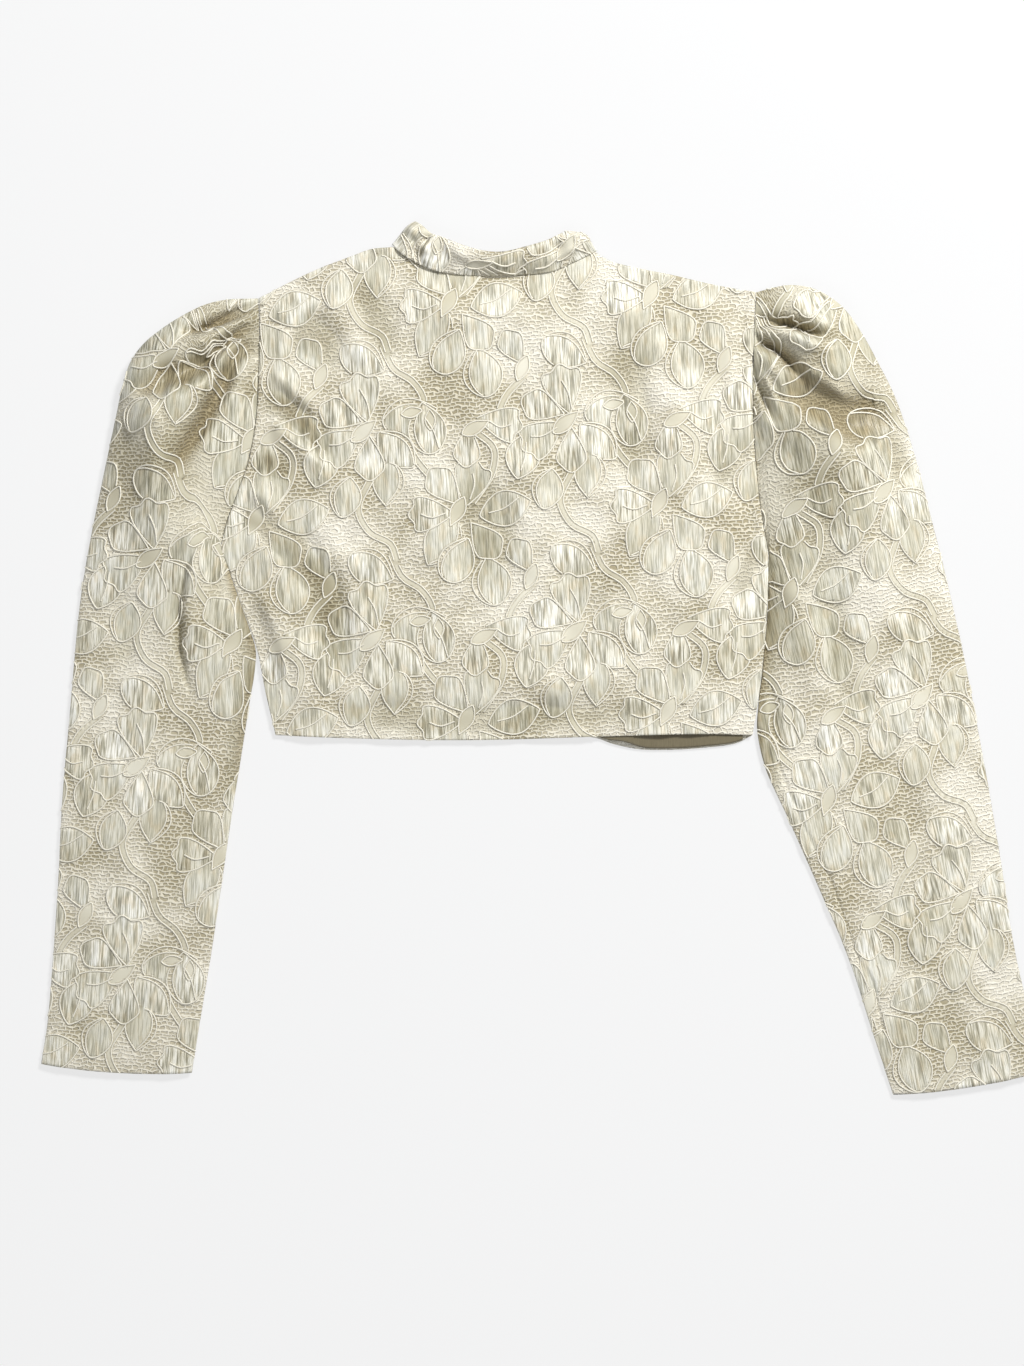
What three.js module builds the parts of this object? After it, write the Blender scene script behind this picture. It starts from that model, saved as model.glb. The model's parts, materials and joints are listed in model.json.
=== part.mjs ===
import * as THREE from 'three';

// A cropped jacket of corded lace cloth, lying on its front with its back up and its sleeves at its sides.
// Millimetres, +Z up. The surface that it lies on is z = 0, and +Y points from the hem to the collar.
// Left and right are the wearer's. The back is up, so the wearer's left is at -X.

// Cloth
const WALL = 1.8;
const LINING_WALL = 1.0;
const SEAM_GAP = 0.3;

// Heights of the layers
const FRONT_TOP = WALL;
const LINING_UNDER = FRONT_TOP + SEAM_GAP;
const BACK_UNDER = FRONT_TOP + SEAM_GAP;
const BACK_LIFT = 3.2;
const HEM_LIFT = 1.9;
const LEAST_LIFT = 0.35;
const ARMHOLE_LIFT = 1.0;
const LINING_LIFT = LINING_WALL + 0.2;

// Grid of the back panel: steps along each shoulder, the neck, each side seam and each armhole
const SHOULDER_STEPS = 8;
const NECK_STEPS = 9;
const SIDE_STEPS = 8;
const ARMHOLE_STEPS = 12;
const BACK_EDGE_BAND = 0.11;

// Sleeve tube: points over the top, points under it, and rings from armhole to cuff
const OVER_STEPS = 26;
const UNDER_STEPS = 10;
const SLEEVE_RINGS = 32;
const HEAD_DENSITY = 1.45;
const SEAM_SHIFT = 0.65;
const EDGE_INSET = 2.0;
const EDGE_REACH = 5;
const SLOPE_ALLOWANCE = 1.3;
const BOW_PEAK = 6.75;
const UNDERARM_FALL = 0.56;

// Collar band
const COLLAR_ACROSS = 3;
const COLLAR_SUBSTEPS = 2;

// Places where the fronts meet, and how far the front hem stays behind the back hem
const CENTRE_FRONT_X = -29;
const CENTRE_FRONT_HALF_GAP = 1;
const HIDDEN_HEM_SETBACK = 2.5;
const LEFT_SHARE_OF_HEM = 0.47;

// The strip of lining: its share of the front hem, how far it stays above that hem, and where it ends
const LINING_FROM = 0.34;
const LINING_TO = 0.955;
const LINING_TURN = 1.2;
const LINING_TOP_Y = -46;
const LINING_ALONG = 14;
const LINING_ACROSS = 2;

const CREAM = '#e9dfc6';
const SATIN = '#cfc3a4';

// Outline of the body, seen from above: each row is a point with columns x and y
const hemLine = [
  [-205.6, -59.3], [-164, -61.2], [-87, -63.1], [-33, -62.8],
  [44, -60.4], [121, -58.5], [160.9, -59.3],
];
const sideLeft = [
  [-205.6, -59.3], [-213.3, -26.2], [-220.2, 7.7],
  [-231, 38.5], [-241.8, 69.3], [-247.6, 84.7],
];
const sideRight = [[160.9, -59.3], [166.3, -24.6], [170.2, 10], [172.5, 44.7], [173.2, 78.5]];
const armholeLeft = [
  [-247.6, 84.7], [-243, 104], [-235, 126], [-226.4, 150.9],
  [-221, 179.4], [-218.7, 210.2], [-217.9, 241], [-218.3, 276.4],
];
const armholeRight = [
  [173.2, 78.5], [166.3, 121.7], [162.5, 160.2],
  [160.9, 198.7], [161.8, 244.9], [163.2, 281.1],
];
const shoulderLeft = [
  [-218.3, 276.4], [-191.7, 290.3], [-166.7, 301.5],
  [-146.5, 309], [-131.7, 314.2], [-114.7, 315.7],
];
const shoulderRight = [
  [39.3, 312.6], [51.6, 305.2], [76.2, 298.8],
  [101.6, 293.8], [127, 287.6], [163.2, 281.1],
];
const neckLine = [
  [-114.7, 315.7], [-103.2, 307.2], [-83.9, 298.8], [-64.7, 295.3],
  [-29.3, 294.5], [5.4, 297.2], [22.3, 304.2], [39.3, 312.6],
];
const frontHemRight = [
  [-27, -57.5], [13.1, -58.6], [41.6, -61.8], [53.1, -65.9], [73.2, -70.1],
  [96.2, -70.7], [120.9, -69.3], [149, -65.5], [160.9, -59.3],
];

// Collar band, a row for each section from centre front round the neck and back to centre front.
// Columns: seam edge x, y, z, then free edge x, y, z, all at the middle of the cloth.
const collarRows = [
  [-30.8, 226.3, 0.9, -30.8, 255, 0.9],
  [-57, 231, 0.9, -50, 258.5, 0.9],
  [-81, 246, 0.9, -65, 269, 0.9],
  [-98, 268, 0.9, -76, 286, 0.9],
  [-107.5, 291, 0.9, -85, 305, 0.9],
  [-111, 312.4, 0.9, -92, 327, 1.0],
  [-113.6, 319.6, 3.1, -98, 335.6, 4.1],
  [-107.6, 313.2, 5.4, -92.5, 332, 8.8],
  [-96.6, 305.6, 4.6, -86, 325.4, 10],
  [-83.9, 299.7, 3.5, -78.6, 322.6, 11.5],
  [-64.7, 296.2, 3.5, -61, 315.4, 16],
  [-46, 295.2, 3.5, -44, 310.6, 20],
  [-29.3, 295.4, 3.5, -29, 310.4, 20.5],
  [-12, 296, 3.5, -13.4, 315, 17],
  [5.4, 298.1, 3.5, 2.8, 322, 12.5],
  [20, 304.4, 4.6, 12, 326.4, 9.5],
  [33, 312.6, 5.4, 17.8, 329, 8.4],
  [40.2, 318, 3.1, 24.2, 331.4, 3.9],
  [37.4, 311, 0.9, 18, 322.4, 1.0],
  [32, 289, 0.9, 9, 301, 0.9],
  [22, 266, 0.9, 0, 283, 0.9],
  [5.5, 245, 0.9, -10, 267.5, 0.9],
  [-12, 232, 0.9, -18.5, 258.5, 0.9],
  [-27.2, 226.3, 0.9, -27.2, 255, 0.9],
];
const COLLAR_FOLD_LEFT_ROW = 6;
const COLLAR_FOLD_RIGHT_ROW = 17;

// Sleeves, a row for each section from armhole to cuff. Columns: outer edge x and y, inner edge x and y,
// how far the section bows away from the body, height of the cloth's crown, height of the rolled outer edge,
// and the power of the arch over it: near 1 is a round dome, near 0.3 a flat top with round edges.
const sleeveLeftRows = [
  { ox: -218.8, oy: 276.8, ix: -248.4, iy: 84.5, bow: 0, crown: 5.4, roll: 2.6, full: 0.45 },
  { ox: -242.1, oy: 275.4, ix: -248, iy: 77, bow: 16, crown: 21, roll: 6.5, full: 0.62 },
  { ox: -260, oy: 270.6, ix: -244.2, iy: 68, bow: 21, crown: 31, roll: 9.5, full: 0.7 },
  { ox: -278, oy: 261, ix: -240.4, iy: 59, bow: 21, crown: 37, roll: 11.5, full: 0.74 },
  { ox: -293, oy: 251, ix: -236.6, iy: 50, bow: 20, crown: 40, roll: 12, full: 0.76 },
  { ox: -305.5, oy: 240.6, ix: -233.4, iy: 41, bow: 19, crown: 40, roll: 12, full: 0.76 },
  { ox: -316, oy: 226.5, ix: -229.8, iy: 31, bow: 18, crown: 38, roll: 11, full: 0.74 },
  { ox: -322.5, oy: 207, ix: -225.7, iy: 19, bow: 17, crown: 34, roll: 9.5, full: 0.7 },
  { ox: -329.5, oy: 176.5, ix: -222.2, iy: 6, bow: 15, crown: 28, roll: 7.5, full: 0.64 },
  { ox: -337.3, oy: 141, ix: -222.8, iy: -9, bow: 12, crown: 21, roll: 5.8, full: 0.56 },
  { ox: -347.5, oy: 92, ix: -225.3, iy: -27, bow: 8, crown: 15, roll: 4.6, full: 0.48 },
  { ox: -356.3, oy: 38.5, ix: -227.6, iy: -47, bow: 5, crown: 10.6, roll: 3.8, full: 0.4 },
  { ox: -363.2, oy: -36, ix: -233, iy: -82, bow: 2, crown: 7.6, roll: 3.3, full: 0.32 },
  { ox: -369.6, oy: -109, ix: -239.8, iy: -125, bow: 0, crown: 7.4, roll: 3.2, full: 0.3 },
  { ox: -372.7, oy: -171.7, ix: -247.2, iy: -175, bow: 0, crown: 7.4, roll: 3.2, full: 0.3 },
  { ox: -376.5, oy: -227.2, ix: -255, iy: -227, bow: 0, crown: 7.2, roll: 3.1, full: 0.3 },
  { ox: -380.6, oy: -277, ix: -263.6, iy: -279, bow: 0, crown: 6.8, roll: 3, full: 0.3 },
  { ox: -385.8, oy: -311.9, ix: -269.9, iy: -318.8, bow: 0, crown: 6.4, roll: 2.9, full: 0.3 },
];
const sleeveRightRows = [
  { ox: 163.7, oy: 281.5, ix: 174, iy: 78.2, bow: 0, crown: 5.4, roll: 2.6, full: 0.45 },
  { ox: 177.5, oy: 284.8, ix: 174.6, iy: 68, bow: 7, crown: 19, roll: 6, full: 0.62 },
  { ox: 190, oy: 286, ix: 174.5, iy: 58, bow: 12, crown: 29, roll: 9, full: 0.7 },
  { ox: 204, oy: 283.8, ix: 174.2, iy: 49, bow: 15, crown: 37, roll: 11, full: 0.74 },
  { ox: 218, oy: 277, ix: 173.9, iy: 40, bow: 17, crown: 41, roll: 12, full: 0.76 },
  { ox: 231, oy: 266.5, ix: 173.3, iy: 30, bow: 18, crown: 42, roll: 12, full: 0.76 },
  { ox: 243, oy: 250, ix: 172.6, iy: 20, bow: 18, crown: 40, roll: 11.5, full: 0.75 },
  { ox: 255, oy: 229, ix: 171.6, iy: 9, bow: 17, crown: 36.5, roll: 10.5, full: 0.72 },
  { ox: 270.3, oy: 199, ix: 170.4, iy: -4, bow: 15, crown: 30, roll: 8.6, full: 0.66 },
  { ox: 284.5, oy: 158, ix: 168.9, iy: -18, bow: 12, crown: 22.5, roll: 6.4, full: 0.58 },
  { ox: 298, oy: 108, ix: 167.7, iy: -36, bow: 8, crown: 15.5, roll: 4.8, full: 0.48 },
  { ox: 311, oy: 57, ix: 167, iy: -56, bow: 5, crown: 10.8, roll: 3.9, full: 0.4 },
  { ox: 325, oy: -6, ix: 173.5, iy: -86, bow: 2, crown: 7.8, roll: 3.4, full: 0.32 },
  { ox: 338.6, oy: -78, ix: 189.5, iy: -126, bow: 0, crown: 7.4, roll: 3.2, full: 0.3 },
  { ox: 350.5, oy: -147, ix: 211.6, iy: -176, bow: 0, crown: 7.4, roll: 3.2, full: 0.3 },
  { ox: 360.4, oy: -212, ix: 234.4, iy: -230, bow: 0, crown: 7.2, roll: 3.1, full: 0.3 },
  { ox: 371.5, oy: -264, ix: 254, iy: -290, bow: 0, crown: 6.8, roll: 3, full: 0.3 },
  { ox: 385.8, oy: -317.2, ix: 269.1, iy: -335.7, bow: 0, crown: 6.4, roll: 2.9, full: 0.3 },
];
const CUFF_BELLY = 3.2;

// Folds: a line of points from the fold's start to its end, its half width, its rise (a trough where
// it is negative), and whether it starts full at a seam.
const headFoldsLeft = [
  {
    line: [[-217, 270.5], [-234, 266], [-246, 259.5], [-259, 252.3], [-276, 247]],
    width: 6, rise: -9, atSeam: true,
  },
  {
    line: [[-217, 263.6], [-232, 259], [-245, 251.5], [-257, 244], [-276, 242.6]],
    width: 5.6, rise: 4.5, atSeam: true,
  },
  {
    line: [[-217, 256.4], [-230, 250.5], [-242, 244], [-255, 231], [-272, 219.6], [-290, 218]],
    width: 6.4, rise: -8.5, atSeam: true,
  },
  {
    line: [[-217, 249.5], [-231, 246], [-242, 237], [-249, 222], [-255, 198]],
    width: 5.6, rise: 4, atSeam: true,
  },
  {
    line: [[-217, 239.8], [-230, 235], [-241, 217], [-255, 192], [-282, 152], [-299, 125]],
    width: 7, rise: -6, atSeam: true,
  },
  { line: [[-217, 229], [-228, 221], [-238, 199], [-250, 170]], width: 7, rise: 2.6, atSeam: true },
  { line: [[-280, 205], [-296, 208], [-310, 204]], width: 11, rise: -3.5, atSeam: false },
];
const headFoldsRight = [
  {
    line: [[161, 256.6], [180, 256.6], [194, 252.6], [206, 246.4], [218, 243]],
    width: 6, rise: -9.5, atSeam: true,
  },
  {
    line: [[161, 249.4], [180, 249.6], [194, 242.8], [204, 234], [218, 236]],
    width: 5.6, rise: 4.5, atSeam: true,
  },
  {
    line: [[161, 245], [176, 239.8], [190, 224], [212, 206], [236, 186]],
    width: 6.6, rise: -7.5, atSeam: true,
  },
  { line: [[160, 236.5], [172, 227.6]], width: 5, rise: 3, atSeam: true },
  { line: [[160, 223.4], [167, 209], [174, 191], [179, 176]], width: 5, rise: 3.2, atSeam: true },
  { line: [[184, 212], [197, 208], [212, 214]], width: 15, rise: -5, atSeam: false },
];
const sleeveFoldsLeft = [
  {
    line: [[-246, 118], [-262, 98], [-270, 72], [-276, 42], [-273, -30], [-262, -58]],
    width: 11, rise: 3.6, atSeam: false,
  },
  { line: [[-284, 62], [-285, 20], [-279, -34]], width: 6, rise: -3, atSeam: false },
  { line: [[-366, -248], [-357, -286], [-350, -300]], width: 6, rise: -1.2, atSeam: false },
];
const sleeveFoldsRight = [
  { line: [[176, 70], [196, 40], [206, 0], [206, -40]], width: 13, rise: 2.6, atSeam: false },
  { line: [[182, 30], [186, -10], [192, -60], [206, -100]], width: 6, rise: -2, atSeam: false },
];
const bodyFolds = [
  {
    line: [[-199, 122], [-187, 76], [-166, 58], [-160, 14], [-149, -25]],
    width: 15, rise: -3.4, atSeam: false,
  },
  { line: [[-222, 62], [-212, 30], [-196, 4], [-184, -40]], width: 17, rise: 2.6, atSeam: false },
  {
    line: [[-214, 206], [-190, 186], [-166, 168], [-150, 160]],
    width: 14, rise: -3, atSeam: false,
  },
  { line: [[-214, 178], [-188, 160], [-160, 140]], width: 12, rise: 2, atSeam: false },
  { line: [[158, 160], [138, 138], [120, 96]], width: 13, rise: -2.4, atSeam: false },
  { line: [[160, 128], [142, 100], [132, 50]], width: 13, rise: 1.8, atSeam: false },
  { line: [[-84, 282], [-60, 262], [-20, 258], [6, 276]], width: 16, rise: 1.8, atSeam: false },
  { line: [[-60, -8], [10, -22], [84, -12]], width: 20, rise: 1.4, atSeam: false },
  { line: [[60, 250], [70, 190], [64, 120]], width: 20, rise: -1.6, atSeam: false },
];

const mix = (a, b, t) => a + (b - a) * t;
const smooth = (low, high, x) => THREE.MathUtils.smoothstep(x, low, high);

// A smooth line through the points of a table, read at equal steps of length
function lineThrough(points) {
  const curve = new THREE.CatmullRomCurve3(points.map(([x, y]) => new THREE.Vector3(x, y, 0)));
  return (t) => {
    const p = curve.getPointAt(THREE.MathUtils.clamp(t, 0, 1));
    return [p.x, p.y];
  };
}

// A smooth value between the rows of a table column, with the place given in rows
function columnValue(values, place) {
  const last = values.length - 1;
  const row = Math.min(Math.floor(place), last - 1);
  const t = place - row;
  const before = row > 0 ? values[row - 1] : 2 * values[0] - values[1];
  const after = row + 2 <= last ? values[row + 2] : 2 * values[last] - values[last - 1];
  const [a, b] = [values[row], values[row + 1]];
  const slopeA = (b - before) / 2;
  const slopeB = (after - a) / 2;
  const t2 = t * t;
  const t3 = t2 * t;
  return (2 * t3 - 3 * t2 + 1) * a + (t3 - 2 * t2 + t) * slopeA + (3 * t2 - 2 * t3) * b + (t3 - t2) * slopeB;
}

// The same value on straight lines between the rows, for heights that must not swing past a row
function straightValue(values, place) {
  const row = Math.min(Math.floor(place), values.length - 2);
  return mix(values[row], values[row + 1], place - row);
}

// How far a point lies from a fold's line, and how far along the line, from 0 to 1, its nearest point is
function nearestOnLine(line, x, y) {
  let best = { distance: Infinity, along: 0 };
  const spans = line.length - 1;
  for (let k = 0; k < spans; k += 1) {
    const [ax, ay] = line[k];
    const [bx, by] = line[k + 1];
    const length2 = (bx - ax) ** 2 + (by - ay) ** 2;
    const t = THREE.MathUtils.clamp(((x - ax) * (bx - ax) + (y - ay) * (by - ay)) / length2, 0, 1);
    const distance = Math.hypot(x - mix(ax, bx, t), y - mix(ay, by, t));
    if (distance < best.distance) best = { distance, along: (k + t) / spans };
  }
  return best;
}

// Height that all the folds of a table add at a point: soft ridges and troughs that fade at their ends
function foldRise(folds, x, y) {
  let rise = 0;
  for (const fold of folds) {
    const { distance, along } = nearestOnLine(fold.line, x, y);
    const start = fold.atSeam ? 1 : smooth(0, 0.25, along);
    const end = 1 - smooth(0.6, 1, along);
    rise += fold.rise * start * end * Math.exp(-((distance / fold.width) ** 2));
  }
  return rise;
}

function geometryOf(points, triangles) {
  const geometry = new THREE.BufferGeometry();
  geometry.setAttribute('position', new THREE.Float32BufferAttribute(points.flat(), 3));
  geometry.setIndex(triangles.flat());
  geometry.computeVertexNormals();
  return geometry;
}

// A closed sheet from two grids of points, the upper and the lower face, as rows of points from -Y to +Y,
// each running from -X to +X
function sheetGeometry(upper, lower) {
  const rows = upper.length;
  const columns = upper[0].length;
  const points = [...upper.flat(), ...lower.flat()];
  const up = (r, c) => r * columns + c;
  const down = (r, c) => rows * columns + r * columns + c;
  const triangles = [];
  const quad = (a, b, c, d) => triangles.push([a, b, c], [a, c, d]);
  for (let r = 0; r < rows - 1; r += 1) {
    for (let c = 0; c < columns - 1; c += 1) {
      quad(up(r, c), up(r, c + 1), up(r + 1, c + 1), up(r + 1, c));
      quad(down(r, c), down(r + 1, c), down(r + 1, c + 1), down(r, c + 1));
    }
    quad(up(r + 1, 0), down(r + 1, 0), down(r, 0), up(r, 0));
    quad(up(r, columns - 1), down(r, columns - 1), down(r + 1, columns - 1), up(r + 1, columns - 1));
  }
  for (let c = 0; c < columns - 1; c += 1) {
    quad(up(0, c), down(0, c), down(0, c + 1), up(0, c + 1));
    quad(up(rows - 1, c + 1), down(rows - 1, c + 1), down(rows - 1, c), up(rows - 1, c));
  }
  return geometryOf(points, triangles);
}

// A tube with a wall, open at both ends, from outer and inner rings of the same count of points.
// The flag turns the faces over for rings that run the other way round.
function tubeGeometry(outer, inner, flipped) {
  const rings = outer.length;
  const around = outer[0].length;
  const points = [...outer.flat(), ...inner.flat()];
  const out = (r, k) => r * around + (k % around);
  const inn = (r, k) => rings * around + r * around + (k % around);
  const triangles = [];
  const quad = (a, b, c, d) => {
    if (flipped) triangles.push([c, b, a], [d, c, a]);
    else triangles.push([a, b, c], [a, c, d]);
  };
  for (let k = 0; k < around; k += 1) {
    for (let r = 0; r < rings - 1; r += 1) {
      quad(out(r, k), out(r, k + 1), out(r + 1, k + 1), out(r + 1, k));
      quad(inn(r, k), inn(r + 1, k), inn(r + 1, k + 1), inn(r, k + 1));
    }
    quad(inn(0, k), inn(0, k + 1), out(0, k + 1), out(0, k));
    quad(out(rings - 1, k), out(rings - 1, k + 1), inn(rings - 1, k + 1), inn(rings - 1, k));
  }
  return geometryOf(points, triangles);
}

function clothMesh(name, geometry, color) {
  const material = new THREE.MeshStandardMaterial({ color, roughness: 0.55, metalness: 0 });
  const mesh = new THREE.Mesh(geometry, material);
  mesh.name = name;
  return mesh;
}

// The back: a grid between the hem, the two sides and the shoulders and neck
function backMesh() {
  const hem = lineThrough(hemLine);
  const [sideL, holeL] = [lineThrough(sideLeft), lineThrough(armholeLeft)];
  const [sideR, holeR] = [lineThrough(sideRight), lineThrough(armholeRight)];
  const neck = lineThrough(neckLine);
  const [shoulderL, shoulderR] = [lineThrough(shoulderLeft), lineThrough(shoulderRight)];
  const columns = 2 * SHOULDER_STEPS + NECK_STEPS;
  const rows = SIDE_STEPS + ARMHOLE_STEPS;
  const top = (c) => {
    if (c <= SHOULDER_STEPS) return shoulderL(c / SHOULDER_STEPS);
    if (c <= SHOULDER_STEPS + NECK_STEPS) return neck((c - SHOULDER_STEPS) / NECK_STEPS);
    return shoulderR((c - SHOULDER_STEPS - NECK_STEPS) / SHOULDER_STEPS);
  };
  const edge = (side, hole, r) => {
    if (r <= SIDE_STEPS) return side(r / SIDE_STEPS);
    return hole((r - SIDE_STEPS) / ARMHOLE_STEPS);
  };
  const upper = [];
  const lower = [];
  for (let r = 0; r <= rows; r += 1) {
    const v = r / rows;
    const [left, right] = [edge(sideL, holeL, r), edge(sideR, holeR, r)];
    const armhole = Math.max(0, (r - SIDE_STEPS) / ARMHOLE_STEPS);
    const upperRow = [];
    const lowerRow = [];
    for (let c = 0; c <= columns; c += 1) {
      const u = c / columns;
      const [low, high] = [hem(u), top(c)];
      const at = (i) => {
        const corners = mix(mix(hem(0)[i], hem(1)[i], u), mix(top(0)[i], top(columns)[i], u), v);
        return mix(low[i], high[i], v) + mix(left[i], right[i], u) - corners;
      };
      const [x, y] = [at(0), at(1)];
      const fromSides = smooth(0, BACK_EDGE_BAND, Math.min(u, 1 - u));
      const fromTop = smooth(0, BACK_EDGE_BAND, 1 - v);
      const inside = fromSides * fromTop;
      const rise = mix(HEM_LIFT, BACK_LIFT, smooth(0, BACK_EDGE_BAND, v)) * inside;
      const seam = ARMHOLE_LIFT * Math.sin(Math.PI * armhole) * (1 - fromSides);
      const folded = Math.max(rise + foldRise(bodyFolds, x, y) * inside, LEAST_LIFT * rise);
      const onLining = LINING_LIFT * smooth(0.62, 0.8, u) * (1 - smooth(0.12, 0.3, v));
      const under = BACK_UNDER + Math.max(folded, onLining) + seam;
      upperRow.push([x, y, under + WALL]);
      lowerRow.push([x, y, under]);
    }
    upper.push(upperRow);
    lower.push(lowerRow);
  }
  return clothMesh('back', sheetGeometry(upper, lower), CREAM);
}

const sampled = (line, steps) => Array.from({ length: steps + 1 }, (_, k) => line(k / steps));

// A front: a flat panel of its own outline under the back
function frontMesh(name, outline) {
  const shape = new THREE.Shape(outline.map(([x, y]) => new THREE.Vector2(x, y)));
  const geometry = new THREE.ExtrudeGeometry(shape, { depth: WALL, bevelEnabled: false });
  return clothMesh(name, geometry, CREAM);
}

// The neckline of a front: the collar's seam edge between two rows, moved off the band by the seam gap
function frontNeck(firstRow, lastRow, outward) {
  const column = (i) => collarRows.map((row) => row[i]);
  const steps = Math.abs(lastRow - firstRow) * COLLAR_SUBSTEPS;
  return sampled((t) => {
    const place = mix(firstRow, lastRow, t);
    return [
      columnValue(column(0), place) + outward * 2 * SEAM_GAP,
      columnValue(column(1), place) - 2 * SEAM_GAP,
    ];
  }, steps);
}

function frontLeftMesh() {
  const hem = lineThrough(hemLine);
  const edgeX = CENTRE_FRONT_X - CENTRE_FRONT_HALF_GAP;
  const hemPoints = sampled((t) => {
    const [x, y] = hem(t * LEFT_SHARE_OF_HEM);
    return [x, y + HIDDEN_HEM_SETBACK * smooth(0, 0.1, t)];
  }, SIDE_STEPS);
  const outline = [
    ...sampled(lineThrough(sideLeft), SIDE_STEPS),
    ...sampled(lineThrough(armholeLeft), 3 * ARMHOLE_STEPS).slice(1),
    ...sampled(lineThrough(shoulderLeft), SHOULDER_STEPS).slice(1),
    ...frontNeck(COLLAR_FOLD_LEFT_ROW - 1, 0, -1),
    [edgeX, hemPoints[SIDE_STEPS][1]],
    ...hemPoints.slice(1, SIDE_STEPS).reverse(),
  ];
  return frontMesh('front_left', outline);
}

function frontRightMesh() {
  const edgeX = CENTRE_FRONT_X + CENTRE_FRONT_HALF_GAP;
  const outline = [
    ...sampled(lineThrough(sideRight), SIDE_STEPS),
    ...sampled(lineThrough(armholeRight), 3 * ARMHOLE_STEPS).slice(1),
    ...sampled(lineThrough(shoulderRight), SHOULDER_STEPS).slice(0, -1).reverse(),
    ...frontNeck(COLLAR_FOLD_RIGHT_ROW + 1, collarRows.length - 1, 1),
    [edgeX, frontHemRight[0][1]],
    ...sampled(lineThrough(frontHemRight), 16).slice(1, 16),
  ];
  return frontMesh('front_right', outline);
}

// The lining shows only where the right front hangs below the back hem
function liningMesh() {
  const hem = lineThrough(frontHemRight);
  const upper = [];
  const lower = [];
  for (let r = 0; r <= LINING_ACROSS; r += 1) {
    const row = sampled((t) => {
      const [x, y] = hem(mix(LINING_FROM, LINING_TO, t));
      return [x, mix(y + LINING_TURN, LINING_TOP_Y, r / LINING_ACROSS)];
    }, LINING_ALONG);
    upper.push(row.map(([x, y]) => [x, y, LINING_UNDER + LINING_WALL]));
    lower.push(row.map(([x, y]) => [x, y, LINING_UNDER]));
  }
  return clothMesh('lining_right', sheetGeometry(upper, lower), SATIN);
}

// The collar: a band whose sections run from its seam edge to its free edge
function collarMesh() {
  const sections = (collarRows.length - 1) * COLLAR_SUBSTEPS;
  const column = (i) => collarRows.map((row) => row[i]);
  const pointAt = (place, t) => {
    const [seamX, seamY, freeX, freeY] = [0, 1, 3, 4].map((i) => columnValue(column(i), place));
    const [seamZ, freeZ] = [2, 5].map((i) => straightValue(column(i), place));
    return new THREE.Vector3(mix(seamX, freeX, t), mix(seamY, freeY, t), mix(seamZ, freeZ, t));
  };
  const [outer, inner] = [[], []];
  for (let s = 0; s <= sections; s += 1) {
    const place = s / COLLAR_SUBSTEPS;
    const before = Math.max(place - 0.5, 0);
    const after = Math.min(place + 0.5, collarRows.length - 1);
    const [outerRow, innerRow] = [[], []];
    for (let k = 0; k <= COLLAR_ACROSS; k += 1) {
      const t = k / COLLAR_ACROSS;
      const along = pointAt(after, t).sub(pointAt(before, t));
      const across = pointAt(place, 1).sub(pointAt(place, 0));
      const normal = along.cross(across).normalize().multiplyScalar(WALL / 2);
      outerRow.push(pointAt(place, t).add(normal).toArray());
      innerRow.push(pointAt(place, t).sub(normal).toArray());
    }
    outer.push(outerRow);
    inner.push(innerRow);
  }
  const transposed = (grid) => grid[0].map((_, k) => grid.map((row) => row[k]));
  return clothMesh('collar', sheetGeometry(transposed(outer), transposed(inner)), CREAM);
}

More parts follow.
